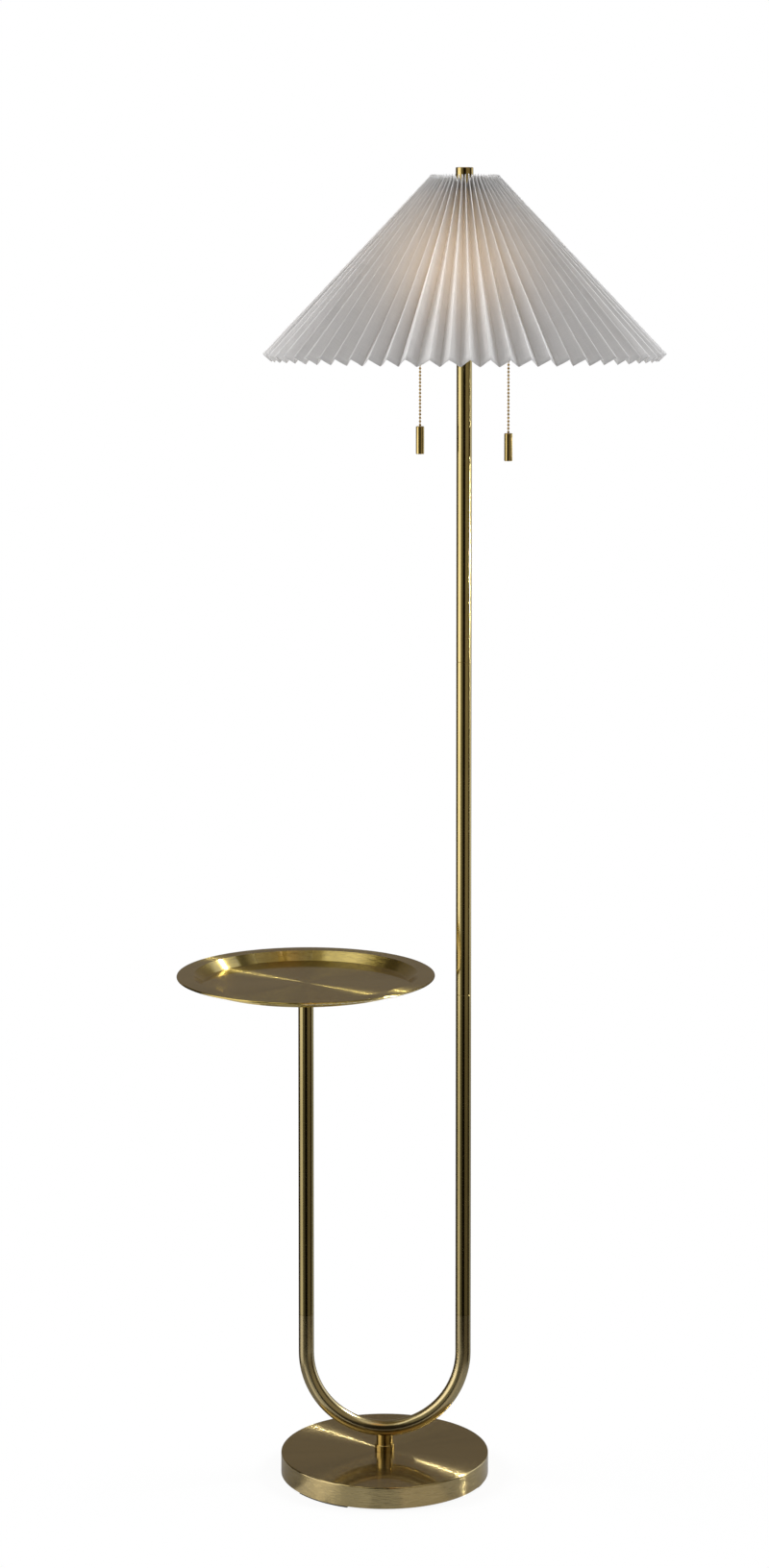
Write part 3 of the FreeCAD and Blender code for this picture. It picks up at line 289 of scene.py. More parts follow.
def makeClothWeave():
    # threads of the cloth in its own flat measure, in metres, with slubs
    group, asked, given = startGroup(
        "clothWeave", {"threadsPerMetre": weave["threadsPerMetre"]}, ("Thread", "Slub"))
    flat = addNode(group, "ShaderNodeUVMap", uv_map="flatCloth").outputs[0]
    u, v, _ = splitVector(group, flat)
    turns = compute(group, "MULTIPLY", asked["threadsPerMetre"], math.tau)
    warp = compute(group, "SINE", compute(group, "MULTIPLY", u, turns))
    weft = compute(group, "SINE", compute(group, "MULTIPLY", v, turns))
    over = compute(group, "MULTIPLY", warp, weft)
    feed(group, compute(group, "MULTIPLY_ADD", over, 0.5, 0.5), given["Thread"])
    parts = []
    for alongStrip, alongFold in (weave["warpSlubs"], weave["weftSlubs"]):
        place = vectorOf(group, compute(group, "MULTIPLY", u, alongStrip),
                         compute(group, "MULTIPLY", v, alongFold), 0.0)
        parts.append(noiseAt(group, place, 1.0, detail=weave["slubDetail"]))
    slubs = compute(group, "ADD", parts[0], parts[1])
    feed(group, compute(group, "MULTIPLY", slubs, 0.5), given["Slub"])
    return group


skinGrit = {
    "grainsPerMetre": 1400.0,
    "patchScale": 0.04,       # patches are this much coarser than the grains
    "detail": 3.0,
    "rough": 0.6,
}


def makeFineGrit():
    # the skin of paint, rubber, cast metal or moulded plastic
    group, asked, given = startGroup(
        "fineGrit", {"grainsPerMetre": skinGrit["grainsPerMetre"]}, ("Grit", "Patch"))
    where = addNode(group, "ShaderNodeTexCoord").outputs["Object"]
    fine = vectorMath(group, "SCALE", where, asked["grainsPerMetre"])
    for label, scale in (("Grit", 1.0), ("Patch", skinGrit["patchScale"])):
        tone = noiseAt(group, fine, scale, skinGrit["detail"], skinGrit["rough"])
        feed(group, tone, given[label])
    return group


turnedGrain = makeTurnedGrain()
drawnGrain = makeDrawnGrain()
patina = makePatina()
edgeMask = makeEdgeMask()
clothWeave = makeClothWeave()
fineGrit = makeFineGrit()
print("effects ready")


# finishes

def startMaterial(name, **plain):
    material = bpy.data.materials.new(name)
    material.use_nodes = True
    tree = material.node_tree
    shader = tree.nodes["Principled BSDF"]
    for label, value in plain.items():
        shader.inputs[label].default_value = value
    return material, tree, shader


def raiseGrain(tree, shader, height, strength, distance):
    bump = addNode(tree, "ShaderNodeBump")
    bump.inputs["Strength"].default_value = strength
    bump.inputs["Distance"].default_value = distance
    feed(tree, height, bump.inputs["Height"])
    feed(tree, bump.outputs[0], shader.inputs["Normal"])


def smoothCoat(tree, shader):
    # lacquer lies smooth over the grain
    feed(tree, addNode(tree, "ShaderNodeNewGeometry").outputs["Normal"], shader.inputs["Coat Normal"])


def colour(red, green, blue):
    return (red, green, blue, 1.0)


brassEdge = colour(0.96, 0.88, 0.70)     # what brass still gives back at a glancing look
cloudRange = (0.3, 0.7)                  # noise over which a finish goes from its dark to its light tone

discBrush = {
    "spread": 1.0,           # how far the rings pull a highlight out
    "turn": 0.25,            # of that pull, as a share of a full turn
    "rough": 0.095,
    "looseRough": 0.23,      # of the rings that the brush tore up
    "lean": 4.5,             # how far those lean out of the surface
    "coat": 0.85,
    "coatRough": 0.04,
    "grainDark": colour(0.10, 0.075, 0.03),
    "grainShare": 0.25,
    "edgeWidth": 0.0008,     # metres of the edges' painted highlight
    "edgeShare": 0.5,
    "markRough": 0.015,      # how much rougher clouds and smudges are
}


def makeTurnedBrass(name, deep, light, centreX):
    # a disc brushed while turning, under clear lacquer
    material, tree, shader = startMaterial(name, **{
        "Metallic": 1.0, "Specular Tint": brassEdge,
        "Anisotropic": discBrush["spread"], "Anisotropic Rotation": discBrush["turn"],
        "Coat Weight": discBrush["coat"], "Coat Roughness": discBrush["coatRough"]})
    grain, wedge, loose, leaning = placeGroup(
        tree, turnedGrain, centreX=centreX, lean=discBrush["lean"])
    cloud, smudge = placeGroup(tree, patina)
    edge, = placeGroup(tree, edgeMask, width=discBrush["edgeWidth"])
    tone = mixColours(tree, fadeIn(tree, wedge, *cloudRange), deep, light)
    dark = compute(tree, "MULTIPLY", grain, discBrush["grainShare"])
    tone = mixColours(tree, dark, tone, discBrush["grainDark"])
    # painted highlight: the edges go towards the light tone
    tone = mixColours(tree, compute(tree, "MULTIPLY", edge, discBrush["edgeShare"]), tone, light)
    feed(tree, tone, shader.inputs["Base Color"])
    rougher = discBrush["looseRough"] - discBrush["rough"]
    polish = compute(tree, "MULTIPLY_ADD", loose, rougher, discBrush["rough"])
    polish = compute(tree, "MULTIPLY_ADD", smudge, discBrush["markRough"], polish)
    polish = compute(tree, "MULTIPLY_ADD", cloud, discBrush["markRough"], polish)
    feed(tree, polish, shader.inputs["Roughness"])
    feed(tree, leaning, shader.inputs["Normal"])
    smoothCoat(tree, shader)
    around = addNode(tree, "ShaderNodeTangent", direction_type="RADIAL", axis="Z")
    feed(tree, around.outputs[0], shader.inputs["Tangent"])
    return material


tubePolish = {
    "coat": 0.6,
    "coatRough": 0.05,
    "grainDark": colour(0.12, 0.085, 0.03),
    "edgeDark": colour(0.06, 0.045, 0.02),
    "edgeWidth": 0.0005,     # metres
    "edgeShare": 0.45,
    "grainRough": 0.03,      # how much rougher grain and smudges are
    "smudgeRough": 0.04,
    "grainStrength": 0.02,
    "grainDepth": 0.00002,   # metres
}


def makeTubeBrass(name, deep, light, rough, lines):
    # drawn tube, polished lengthwise and lacquered
    material, tree, shader = startMaterial(name, **{
        "Metallic": 1.0, "Specular Tint": brassEdge,
        "Coat Weight": tubePolish["coat"], "Coat Roughness": tubePolish["coatRough"]})
    grain, = placeGroup(tree, drawnGrain)
    cloud, smudge = placeGroup(tree, patina)
    edge, = placeGroup(tree, edgeMask, width=tubePolish["edgeWidth"])
    tone = mixColours(tree, fadeIn(tree, cloud, *cloudRange), deep, light)
    dark = compute(tree, "MULTIPLY", grain, lines)
    tone = mixColours(tree, dark, tone, tubePolish["grainDark"])
    # the edges are darker
    edgeTone = compute(tree, "MULTIPLY", edge, tubePolish["edgeShare"])
    tone = mixColours(tree, edgeTone, tone, tubePolish["edgeDark"])
    feed(tree, tone, shader.inputs["Base Color"])
    polish = compute(tree, "MULTIPLY_ADD", grain, tubePolish["grainRough"], rough)
    polish = compute(tree, "MULTIPLY_ADD", smudge, tubePolish["smudgeRough"], polish)
    feed(tree, polish, shader.inputs["Roughness"])
    raiseGrain(tree, shader, grain, tubePolish["grainStrength"], tubePolish["grainDepth"])
    smoothCoat(tree, shader)
    return material


fittingPolish = {
    "coat": 0.5,
    "coatRough": 0.05,
    "cloudsPerMetre": 40.0,
    "smudgesPerMetre": 160.0,
    "gritPerMetre": 2500.0,
    "edgeHighlight": colour(0.75, 0.60, 0.28),
    "edgeShare": 0.5,
    "smudgeRough": 0.08,     # how much rougher smudges are
    "gritStrength": 0.05,
    "gritDepth": 0.00003,    # metres
}


def makeSmallBrass(name, deep, light, rough):
    # small turned fittings, with a painted highlight on their edges
    material, tree, shader = startMaterial(name, **{
        "Metallic": 1.0, "Specular Tint": brassEdge,
        "Coat Weight": fittingPolish["coat"], "Coat Roughness": fittingPolish["coatRough"]})
    cloud, smudge = placeGroup(tree, patina, cloudsPerMetre=fittingPolish["cloudsPerMetre"],
                               smudgesPerMetre=fittingPolish["smudgesPerMetre"])
    edge, = placeGroup(tree, edgeMask)
    grit, _ = placeGroup(tree, fineGrit, grainsPerMetre=fittingPolish["gritPerMetre"])
    tone = mixColours(tree, fadeIn(tree, cloud, *cloudRange), deep, light)
    # painted highlight along the edges
    edgeTone = compute(tree, "MULTIPLY", edge, fittingPolish["edgeShare"])
    tone = mixColours(tree, edgeTone, tone, fittingPolish["edgeHighlight"])
    feed(tree, tone, shader.inputs["Base Color"])
    polish = compute(tree, "MULTIPLY_ADD", smudge, fittingPolish["smudgeRough"], rough)
    feed(tree, polish, shader.inputs["Roughness"])
    raiseGrain(tree, shader, grit, fittingPolish["gritStrength"], fittingPolish["gritDepth"])
    smoothCoat(tree, shader)
    return material


grittySkin = {
    "patchRange": (0.35, 0.65),   # noise over which it goes from the dark to the light tone
    "edgeWidth": 0.0005,          # metres
    "edgeShare": 0.35,
    "gritRough": 0.15,            # how much rougher the grains are
}


def makeGritty(name, deep, light, rough, metallic=0.0, grains=1400.0, depth=0.0001, strength=0.3):
    # paint, cast iron, zinc, aluminium, rubber, phenolic and board share one build
    material, tree, shader = startMaterial(name, Metallic=metallic)
    grit, patch = placeGroup(tree, fineGrit, grainsPerMetre=grains)
    edge, = placeGroup(tree, edgeMask, width=grittySkin["edgeWidth"])
    tone = mixColours(tree, fadeIn(tree, patch, *grittySkin["patchRange"]), deep, light)
    # painted highlight: the edges go towards the light tone
    tone = mixColours(tree, compute(tree, "MULTIPLY", edge, grittySkin["edgeShare"]), tone, light)
    feed(tree, tone, shader.inputs["Base Color"])
    polish = compute(tree, "MULTIPLY_ADD", grit, grittySkin["gritRough"], rough)
    feed(tree, polish, shader.inputs["Roughness"])
    raiseGrain(tree, shader, grit, strength, depth)
    return material


bulbLight = {
    "glass": colour(0.92, 0.90, 0.86),
    "patch": colour(0.85, 0.82, 0.76),
    "patchShare": 0.2,
    "glow": colour(1.0, 0.80, 0.52),
    "dim": colour(0.30, 0.20, 0.10),
    "neckGlow": 0.35,        # share of the glow at the neck, which is the lower end
    "neckReach": 0.6,        # share of the height at which the glow is full
    "strength": 2.4,
    "rough": 0.32,
    "gritRough": 0.1,
    "grainsPerMetre": 700.0,
    "coat": 0.6,
    "coatRough": 0.05,
}


def makeBulbGlass():
    # opal glass, lit from inside, a little darker towards the neck
    material, tree, shader = startMaterial("bulb_glass", **{
        "Emission Strength": bulbLight["strength"],
        "Coat Weight": bulbLight["coat"], "Coat Roughness": bulbLight["coatRough"]})
    grit, patch = placeGroup(tree, fineGrit, grainsPerMetre=bulbLight["grainsPerMetre"])
    patchy = compute(tree, "MULTIPLY", patch, bulbLight["patchShare"])
    tone = mixColours(tree, patchy, bulbLight["glass"], bulbLight["patch"])
    feed(tree, tone, shader.inputs["Base Color"])
    where = addNode(tree, "ShaderNodeTexCoord").outputs["Object"]
    height = splitVector(tree, where)[2]
    low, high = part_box("left_bulb_glass")
    full = low.z + bulbLight["neckReach"] * (high.z - low.z)
    lit = remap(tree, height, low.z, full, bulbLight["neckGlow"], 1.0)
    feed(tree, mixColours(tree, lit, bulbLight["dim"], bulbLight["glow"]), shader.inputs["Emission Color"])
    polish = compute(tree, "MULTIPLY_ADD", grit, bulbLight["gritRough"], bulbLight["rough"])
    feed(tree, polish, shader.inputs["Roughness"])
    return material


clothFinish = {
    "panel": colour(0.72, 0.715, 0.72),
    # painted highlight on the outer creases, painted shade in the valleys
    "crease": colour(0.88, 0.88, 0.885),
    "valley": colour(0.66, 0.645, 0.635),
    "creaseWidth": 0.0006,                 # metres of painted highlight on each side of a crease
    "creaseSoft": 0.5,                     # share of that width over which it fades, either way
    "valleyReach": 1.5,                    # the painted shade of a valley reaches this much further
    "rough": 0.85,
    "sheen": 0.12,
    "sheenRough": 0.5,
    "shine": 0.25,
    "through": colour(0.90, 0.86, 0.80),   # tint of light that comes through
    "throughShare": 0.26,
    "threadDark": 0.08,                    # how far threads and slubs change the tone, as shares of it
    "slubDark": 0.30,
    "slubHeight": 0.6,                     # of a thread's height
    "threadStrength": 0.25,
    "threadDepth": 0.00012,
    "glow": colour(1.0, 0.73, 0.46),       # painted glow of the bulbs seen through the cloth
    "glowStrength": 0.175,
    "glowHeight": 0.042,                   # how far the glow reaches up and down
    "glowDrop": 0.020,                     # its middle lies under the middle of the bulbs
    "glowInset": 0.004,                    # and nearer to the pole than they are
    "glowLeft": 0.046,                     # how far each bulb's glow reaches to its sides
    "glowRight": 0.042,
    "rightShare": 0.36,                    # of the left bulb's strength
    "glowAround": 0.05,                    # share of the glow over the whole width
    "hubFade": (-0.001, 0.003),            # metres over the top of the seat between which the painted glow fades into the hub's painted shadow
    "hubGlow": 0.25,                       # share of the painted glow left in that painted shadow
}


def paintedGlowMask(tree):
    # painted glow: bright where the two lit bulbs are close behind the cloth, the left one more than the
    # right
    place = addNode(tree, "ShaderNodeNewGeometry").outputs["Position"]
    x, _, z = splitVector(tree, place)
    bulb = middleOf("left_bulb_glass")

    def bell(value, middle, reach):
        off = compute(tree, "DIVIDE", compute(tree, "SUBTRACT", value, middle), reach)
        square = compute(tree, "MULTIPLY", off, off)
        return compute(tree, "EXPONENT", compute(tree, "MULTIPLY", square, -0.5))

    inset = clothFinish["glowInset"]
    left = bell(x, bulb.x + inset, clothFinish["glowLeft"])
    right = bell(x, 2 * poleX - bulb.x - inset, clothFinish["glowRight"])
    weaker = compute(tree, "MULTIPLY_ADD", right, clothFinish["rightShare"], clothFinish["glowAround"])
    across = compute(tree, "ADD", weaker, left)
    band = bell(z, bulb.z - clothFinish["glowDrop"], clothFinish["glowHeight"])
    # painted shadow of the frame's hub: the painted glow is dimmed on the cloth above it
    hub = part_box("shade_seat")[1].z
    fadeFrom, fadeTo = clothFinish["hubFade"]
    paintedHubShadow = remap(tree, z, hub + fadeFrom, hub + fadeTo, 1.0, clothFinish["hubGlow"])
    return compute(tree, "MULTIPLY", compute(tree, "MULTIPLY", across, band), paintedHubShadow)


def makePleatedFabric():
    # stiffened plain weave: light passes through; the outer creases get a painted highlight, the valleys
    # painted shade, and the cloth a painted glow of the bulbs
    material, tree, shader = startMaterial("pleated_fabric", **{
        "Roughness": clothFinish["rough"], "Specular IOR Level": clothFinish["shine"],
        "Sheen Weight": clothFinish["sheen"], "Sheen Roughness": clothFinish["sheenRough"],
        "Emission Strength": clothFinish["glowStrength"]})
    thread, slub = placeGroup(tree, clothWeave)
    # metres from the outer crease and from the valley, measured along the cloth
    outer = addNode(tree, "ShaderNodeAttribute", attribute_name="fromCrease").outputs["Fac"]
    inner = addNode(tree, "ShaderNodeAttribute", attribute_name="fromValley").outputs["Fac"]
    narrow = clothFinish["creaseWidth"] * (1 - clothFinish["creaseSoft"])
    wide = clothFinish["creaseWidth"] * (1 + clothFinish["creaseSoft"])
    # painted shade in the valleys, painted highlight along the outer creases
    valley = fadeIn(tree, inner, wide * clothFinish["valleyReach"], 0.0)
    tone = mixColours(tree, valley, clothFinish["panel"], clothFinish["valley"])
    tone = mixColours(tree, fadeIn(tree, outer, wide, narrow), tone, clothFinish["crease"])
    # the slubs' noise is 0.5 on average, where they leave the tone as it is
    dark, patchy = clothFinish["threadDark"], clothFinish["slubDark"]
    dim = compute(tree, "MULTIPLY_ADD", thread, dark, 1 - dark)
    dim = compute(tree, "MULTIPLY", dim, compute(tree, "MULTIPLY_ADD", slub, patchy, 1 - patchy / 2))
    tone = mixColours(tree, 1.0, tone, dim, "MULTIPLY")
    feed(tree, tone, shader.inputs["Base Color"])
    # the painted glow goes into the cloth's emission
    lit = compute(tree, "MULTIPLY", paintedGlowMask(tree), dim)
    feed(tree, mixColours(tree, 1.0, clothFinish["glow"], lit, "MULTIPLY"), shader.inputs["Emission Color"])
    height = compute(tree, "MULTIPLY_ADD", slub, clothFinish["slubHeight"], thread)
    raiseGrain(tree, shader, height, clothFinish["threadStrength"], clothFinish["threadDepth"])
    sent = addNode(tree, "ShaderNodeBsdfTranslucent")
    feed(tree, mixColours(tree, 1.0, clothFinish["through"], dim, "MULTIPLY"), sent.inputs["Color"])
    blend = addNode(tree, "ShaderNodeMixShader")
    blend.inputs[0].default_value = clothFinish["throughShare"]
    feed(tree, shader.outputs[0], blend.inputs[1])
    feed(tree, sent.outputs[0], blend.inputs[2])
    feed(tree, blend.outputs[0], tree.nodes["Material Output"].inputs["Surface"])
    return material


# each finish of the solids: how it is made, its dark and its light tone, and its own numbers
solidFinishes = {
    "brushed_base": (makeTurnedBrass, (0.41, 0.32, 0.14), (0.50, 0.39, 0.17), {"centreX": 0.0}),
    "spun_tray": (makeTurnedBrass, (0.44, 0.33, 0.08), (0.52, 0.40, 0.11), {"centreX": trayX}),
    "antique_brass": (makeTubeBrass, (0.41, 0.33, 0.13), (0.47, 0.38, 0.16), {"rough": 0.12, "lines": 0.12}),
    "satin_brass": (makeTubeBrass, (0.42, 0.34, 0.17), (0.50, 0.41, 0.21), {"rough": 0.19, "lines": 0.10}),
    "polished_brass": (makeSmallBrass, (0.40, 0.30, 0.11), (0.48, 0.37, 0.14), {"rough": 0.13}),
    "chain_brass": (makeSmallBrass, (0.50, 0.33, 0.10), (0.60, 0.42, 0.14), {"rough": 0.18}),
    "contact_brass": (makeSmallBrass, (0.55, 0.42, 0.18), (0.66, 0.52, 0.25), {"rough": 0.25}),
    "black_cover": (makeGritty, (0.012, 0.012, 0.012), (0.03, 0.03, 0.03), {"rough": 0.45}),
    "cast_iron": (makeGritty, (0.05, 0.048, 0.045), (0.12, 0.11, 0.10),
                  {"rough": 0.55, "metallic": 0.7, "grains": 700.0, "depth": 0.0004, "strength": 0.6}),
    "zinc_steel": (makeGritty, (0.42, 0.43, 0.44), (0.62, 0.62, 0.60),
                   {"rough": 0.28, "metallic": 1.0, "grains": 600.0, "strength": 0.1}),
    "black_rubber": (makeGritty, (0.010, 0.010, 0.010), (0.025, 0.025, 0.025), {"rough": 0.65}),
    "black_phenolic": (makeGritty, (0.015, 0.012, 0.010), (0.04, 0.03, 0.025),
                       {"rough": 0.28, "grains": 900.0, "strength": 0.12}),
    "liner_board": (makeGritty, (0.28, 0.20, 0.12), (0.42, 0.32, 0.20),
                    {"rough": 0.8, "grains": 1800.0, "strength": 0.5}),
    "thread_aluminium": (makeGritty, (0.60, 0.60, 0.61), (0.78, 0.78, 0.78),
                         {"rough": 0.25, "metallic": 1.0, "grains": 900.0, "strength": 0.12}),
    "white_wire": (makeGritty, (0.72, 0.71, 0.68), (0.80, 0.79, 0.76),
                   {"rough": 0.38, "grains": 1200.0, "strength": 0.15}),
}
finishes = {}
for name, (maker, deep, light, own) in solidFinishes.items():
    finishes[name] = maker(name, colour(*deep), colour(*light), **own)
finishes["bulb_glass"] = makeBulbGlass()
finishes["pleated_fabric"] = makePleatedFabric()

for entry in frame["record"]["subparts"]:
    node = frame["nodes"][entry["node"]]
    for holder in node.material_slots:
        holder.material = finishes[entry["material_slot"]]
print("finishes placed:", len(finishes))


# pleated cover of the shade

pleats = {
    "count": 64,
    "topRadius": 0.0385,      # over the folds at the top
    "topDepth": 0.013,
    "bottomDepth": 0.009,
    "cloth": 0.0005,          # thickness
    "height": 0.202,
    "rows": 40,
    # where a panel's points lie across it, closer together at the creases
    "across": (0.0, 0.035, 0.12, 0.32, 0.5, 0.68, 0.88, 0.965),
    # how unevenly it is folded: each draw's spread times its own measure
    "angleSpread": 0.5,
    "strayAngle": 0.10,       # of a panel's width
    "strayTop": 0.6,          # share of that at the top
    "depthSpread": 0.4,
    "strayDepth": 0.0009,     # metres
    "strayValley": 0.5,       # share of that at the inner folds
    "bowSpread": 0.6,
    "bow": 0.0008,            # metres by which a panel bulges
    "bowWaves": 1.5,          # half waves of that bulge from top to bottom
    "seamFold": 91,           # the strip's ends are glued over this fold
    "seamWiden": 0.42,        # share of a panel by which the glued one is wider
    "seamReach": 5.0,         # folds on each side that give way to it
}


def foldLines():
    # ends of each crease as (angle, radius, height) at the top and at the bottom
    low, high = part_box("shade_cover")
    bottomRadius = (high.x - low.x) / 2
    lean = (bottomRadius - pleats["topRadius"]) / pleats["height"]
    topHeight, bottomHeight = high.z, high.z - pleats["height"]
    number = np.arange(2 * pleats["count"])
    outward = number % 2 == 0
    angle = math.pi * number / pleats["count"]
    luck = np.random.default_rng(7)
    pitch = math.pi / pleats["count"]
    stray = luck.normal(0.0, pleats["angleSpread"], (2, len(number))) * pleats["strayAngle"] * pitch
    away = number - pleats["seamFold"] - 0.5
    fade = np.exp(-np.abs(away) / pleats["seamReach"])
    push = np.sign(away) * fade * pleats["seamWiden"] / 2 * pitch
    depth = np.abs(luck.normal(0.0, pleats["depthSpread"], (2, len(number))) * pleats["strayDepth"])
    ends = []
    for row, radius, foldDepth, height, share in (
            (0, pleats["topRadius"], pleats["topDepth"], topHeight, pleats["strayTop"]),
            (1, bottomRadius, pleats["bottomDepth"], bottomHeight, 1.0)):
        inset = np.where(outward, depth[row], foldDepth - depth[row] * pleats["strayValley"])
        ends.append((angle + stray[row] * share + push, radius - inset, height - inset * lean))
    return ends


def coverPoints():
    (topAngle, topRadius, topHeight), (lowAngle, lowRadius, lowHeight) = foldLines()
    rows, across = pleats["rows"], np.array(pleats["across"])
    down = np.linspace(0.0, 1.0, rows + 1)[:, None]
    angle = topAngle + (lowAngle - topAngle) * down
    radius = topRadius + (lowRadius - topRadius) * down
    height = topHeight + (lowHeight - topHeight) * down
    corner = np.stack([poleX + radius * np.cos(angle), radius * np.sin(angle), height], axis=2)
    after = np.roll(corner, -1, axis=1)
    share = across[None, None, :, None]
    points = corner[:, :, None, :] + (after - corner)[:, :, None, :] * share
    along = corner[-1] - corner[0]
    normal = np.cross(along, after[-1] - corner[-1])
    normal /= np.linalg.norm(normal, axis=1)[:, None]
    luck = np.random.default_rng(11)
    slow = luck.normal(0.0, pleats["bowSpread"], (3, corner.shape[1]))
    wave = slow[0] + slow[1] * np.sin(math.pi * down)
    wave = wave + slow[2] * np.cos(math.pi * pleats["bowWaves"] * down)
    bulge = pleats["bow"] * np.sin(math.pi * across)
    points = points + (wave[:, :, None, None] * bulge[None, None, :, None]) * normal[None, :, None, :]
    width = np.linalg.norm(after - corner, axis=2)[:, :, None]
    outward = (np.arange(corner.shape[1]) % 2 == 0)[None, :, None]
    start, end = width * across, width * (1.0 - across)
    fromCrease = np.where(outward, start, end).reshape(rows + 1, -1)
    fromValley = np.where(outward, end, start).reshape(rows + 1, -1)
    points = points.reshape(rows + 1, -1, 3)
    # the creases are rounded a little
    points = (np.roll(points, 1, axis=1) + 2 * points + np.roll(points, -1, axis=1)) / 4
    return points, fromCrease, fromValley


def makePleatedCover():
    points, fromCrease, fromValley = coverPoints()
    rows, columns = points.shape[:2]
    mesh = bpy.data.meshes.new("pleated_cover")
    faces = [(r * columns + c, (r + 1) * columns + c,
              (r + 1) * columns + (c + 1) % columns, r * columns + (c + 1) % columns)
             for r in range(rows - 1) for c in range(columns)]
    mesh.from_pydata(points.reshape(-1, 3).tolist(), [], faces)
    for label, away in (("fromCrease", fromCrease), ("fromValley", fromValley)):
        values = mesh.attributes.new(label, "FLOAT", "POINT").data
        values.foreach_set("value", away.ravel().astype(np.float32))
    # flat measure of the cloth: along the strip, and along the folds
    middle = points[rows // 2]
    steps = np.linalg.norm(np.roll(middle, -1, axis=0) - middle, axis=1)
    width = np.concatenate([[0.0], np.cumsum(steps)])
    length = np.linalg.norm(points[-1] - points[0], axis=1).mean()
    layer = mesh.uv_layers.new(name="flatCloth")
    for face, polygon in zip(faces, mesh.polygons):
        r, c = face[0] // columns, face[0] % columns
        corners = ((c, r), (c, r + 1), (c + 1, r + 1), (c + 1, r))
        for loop, (u, v) in zip(polygon.loop_indices, corners):
            layer.data[loop].uv = (width[u], length * v / (rows - 1))
    mesh.polygons.foreach_set("use_smooth", [True] * len(faces))
    cover = bpy.data.objects.new("pleated_cover", mesh)
    bpy.context.scene.collection.objects.link(cover)
    mesh.materials.append(finishes["pleated_fabric"])
    thick = cover.modifiers.new("thickness", "SOLIDIFY")
    thick.thickness = pleats["cloth"]
    outwards = mesh.polygons[0].center - Vector((poleX, 0, 0))
    thick.offset = 1.0 if mesh.polygons[0].normal.xy.dot(outwards.xy) < 0 else -1.0
    return cover, float(width[-1]), float(length)


pleatedCover, stripWidth, stripLength = makePleatedCover()
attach(pleatedCover, "shade")
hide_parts("shade_cover")
print(f"pleated cover: strip {stripWidth:.3f} x {stripLength:.3f} m")


# stage: floor, screen for reflections, light, camera

studio = {
    "white": 1.0,
    "roomLight": 0.62,         # even light on the object from all around
    "floorCards": 0.36,        # radius of the floor that the brass mirrors
    "floorNear": 0.62,         # radius of the floor that takes the shadow
    "floorFar": 30.0,
    "floorPale": colour(0.86, 0.86, 0.86),
    "floorRough": 0.9,
    "floorShadow": 0.10,       # share of the floor under the lamp that takes its shadow
    "floorMirrored": 0.30,     # the same share where the brass mirrors the floor
    "floorFoot": 0.10,         # radius within which that share is full
    "screenRadius": 5.0,
    "screenLow": -3.2,
    "screenHigh": 6.6,
    "screenSegments": 96,
    "screenSoft": 3.0,         # degrees on each side of the line where two tones meet
    "floorSoft": 2.0,
    "lidSoft": 0.2,            # the same in metres
}

# what the brass sees around it: degrees to the right of the camera, where a band ends, and its tone
screenBands = [
    (-136, (0.20, 0.175, 0.145)),
    (-100, (0.06, 0.05, 0.03)),
    (-51, (2.1, 2.05, 2.0)),
    (-18, (0.28, 0.27, 0.21)),
    (20, (0.015, 0.011, 0.007)),
    (70, (0.35, 0.31, 0.23)),
    (103, (0.06, 0.045, 0.02)),
    (140, (1.10, 1.15, 1.25)),
    (180, (0.20, 0.175, 0.145)),
]
# the lower part of the screen is darker: metres where that starts and ends, and its share of light
screenFade = (-0.15, -0.95, 0.44)

# painted reflection: bands of tone on the floor close around the base, seen only in reflections, for its
# side to mirror: degrees as above
floorBands = [
    (-62, (0.08, 0.07, 0.07)),
    (-37, (0.85, 0.82, 0.78)),
    (-9, (0.46, 0.46, 0.46)),
    (10, (0.28, 0.28, 0.28)),
    (42, (0.48, 0.44, 0.40)),
    (54, (0.30, 0.29, 0.30)),
    (180, (0.22, 0.22, 0.24)),
]

# what the brass sees above: metres to the right, where a band ends, and its tone
ceilingBands = [
    (-1.3, (1.5, 1.5, 1.4)),
    (0.2, (0.55, 0.50, 0.38)),
    (1.5, (1.0, 0.66, 0.34)),
    (3.4, (0.95, 0.92, 0.82)),
    (5.0, (0.6, 0.58, 0.55)),
]
# the back of the lid is darker: metres where that starts and ends, and its share of light
lidFade = (0.2, 1.4, 0.25)


def seenDirectly(tree):
    # 1 for what the camera, a mirror or glass looks at, 0 for light that falls on a surface
    path = addNode(tree, "ShaderNodeLightPath").outputs
    seen = compute(tree, "MAXIMUM", path["Is Camera Ray"], path["Is Glossy Ray"])
    return compute(tree, "MAXIMUM", seen, path["Is Transmission Ray"])


def makeRoom():
    room = bpy.data.worlds.new("whiteRoom")
    bpy.context.scene.world = room
    room.use_nodes = True
    tree = room.node_tree
    backdrop = tree.nodes["Background"]
    level = studio["roomLight"]
    feed(tree, mixColours(tree, seenDirectly(tree), colour(level, level, level), colour(1, 1, 1)),
         backdrop.inputs["Color"])
    backdrop.inputs["Strength"].default_value = studio["white"]


def hoopMesh(name, first, second, segments=128):
    # faces between two rims around the middle, each given as its radius and height
    points, faces = [], []
    for number in range(segments):
        turn = math.tau * number / segments
        for radius, height in (first, second):
            points.append((radius * math.cos(turn), radius * math.sin(turn), height))
    for number in range(segments):
        here, there = 2 * number, 2 * ((number + 1) % segments)
        if first[0] == 0:
            faces.append((0, here + 1, there + 1))
        else:
            faces.append((here, here + 1, there + 1, there))
    mesh = bpy.data.meshes.new(name)
    mesh.from_pydata(points, [], faces)
    hoop = bpy.data.objects.new(name, mesh)
    bpy.context.scene.collection.objects.link(hoop)
    return hoop


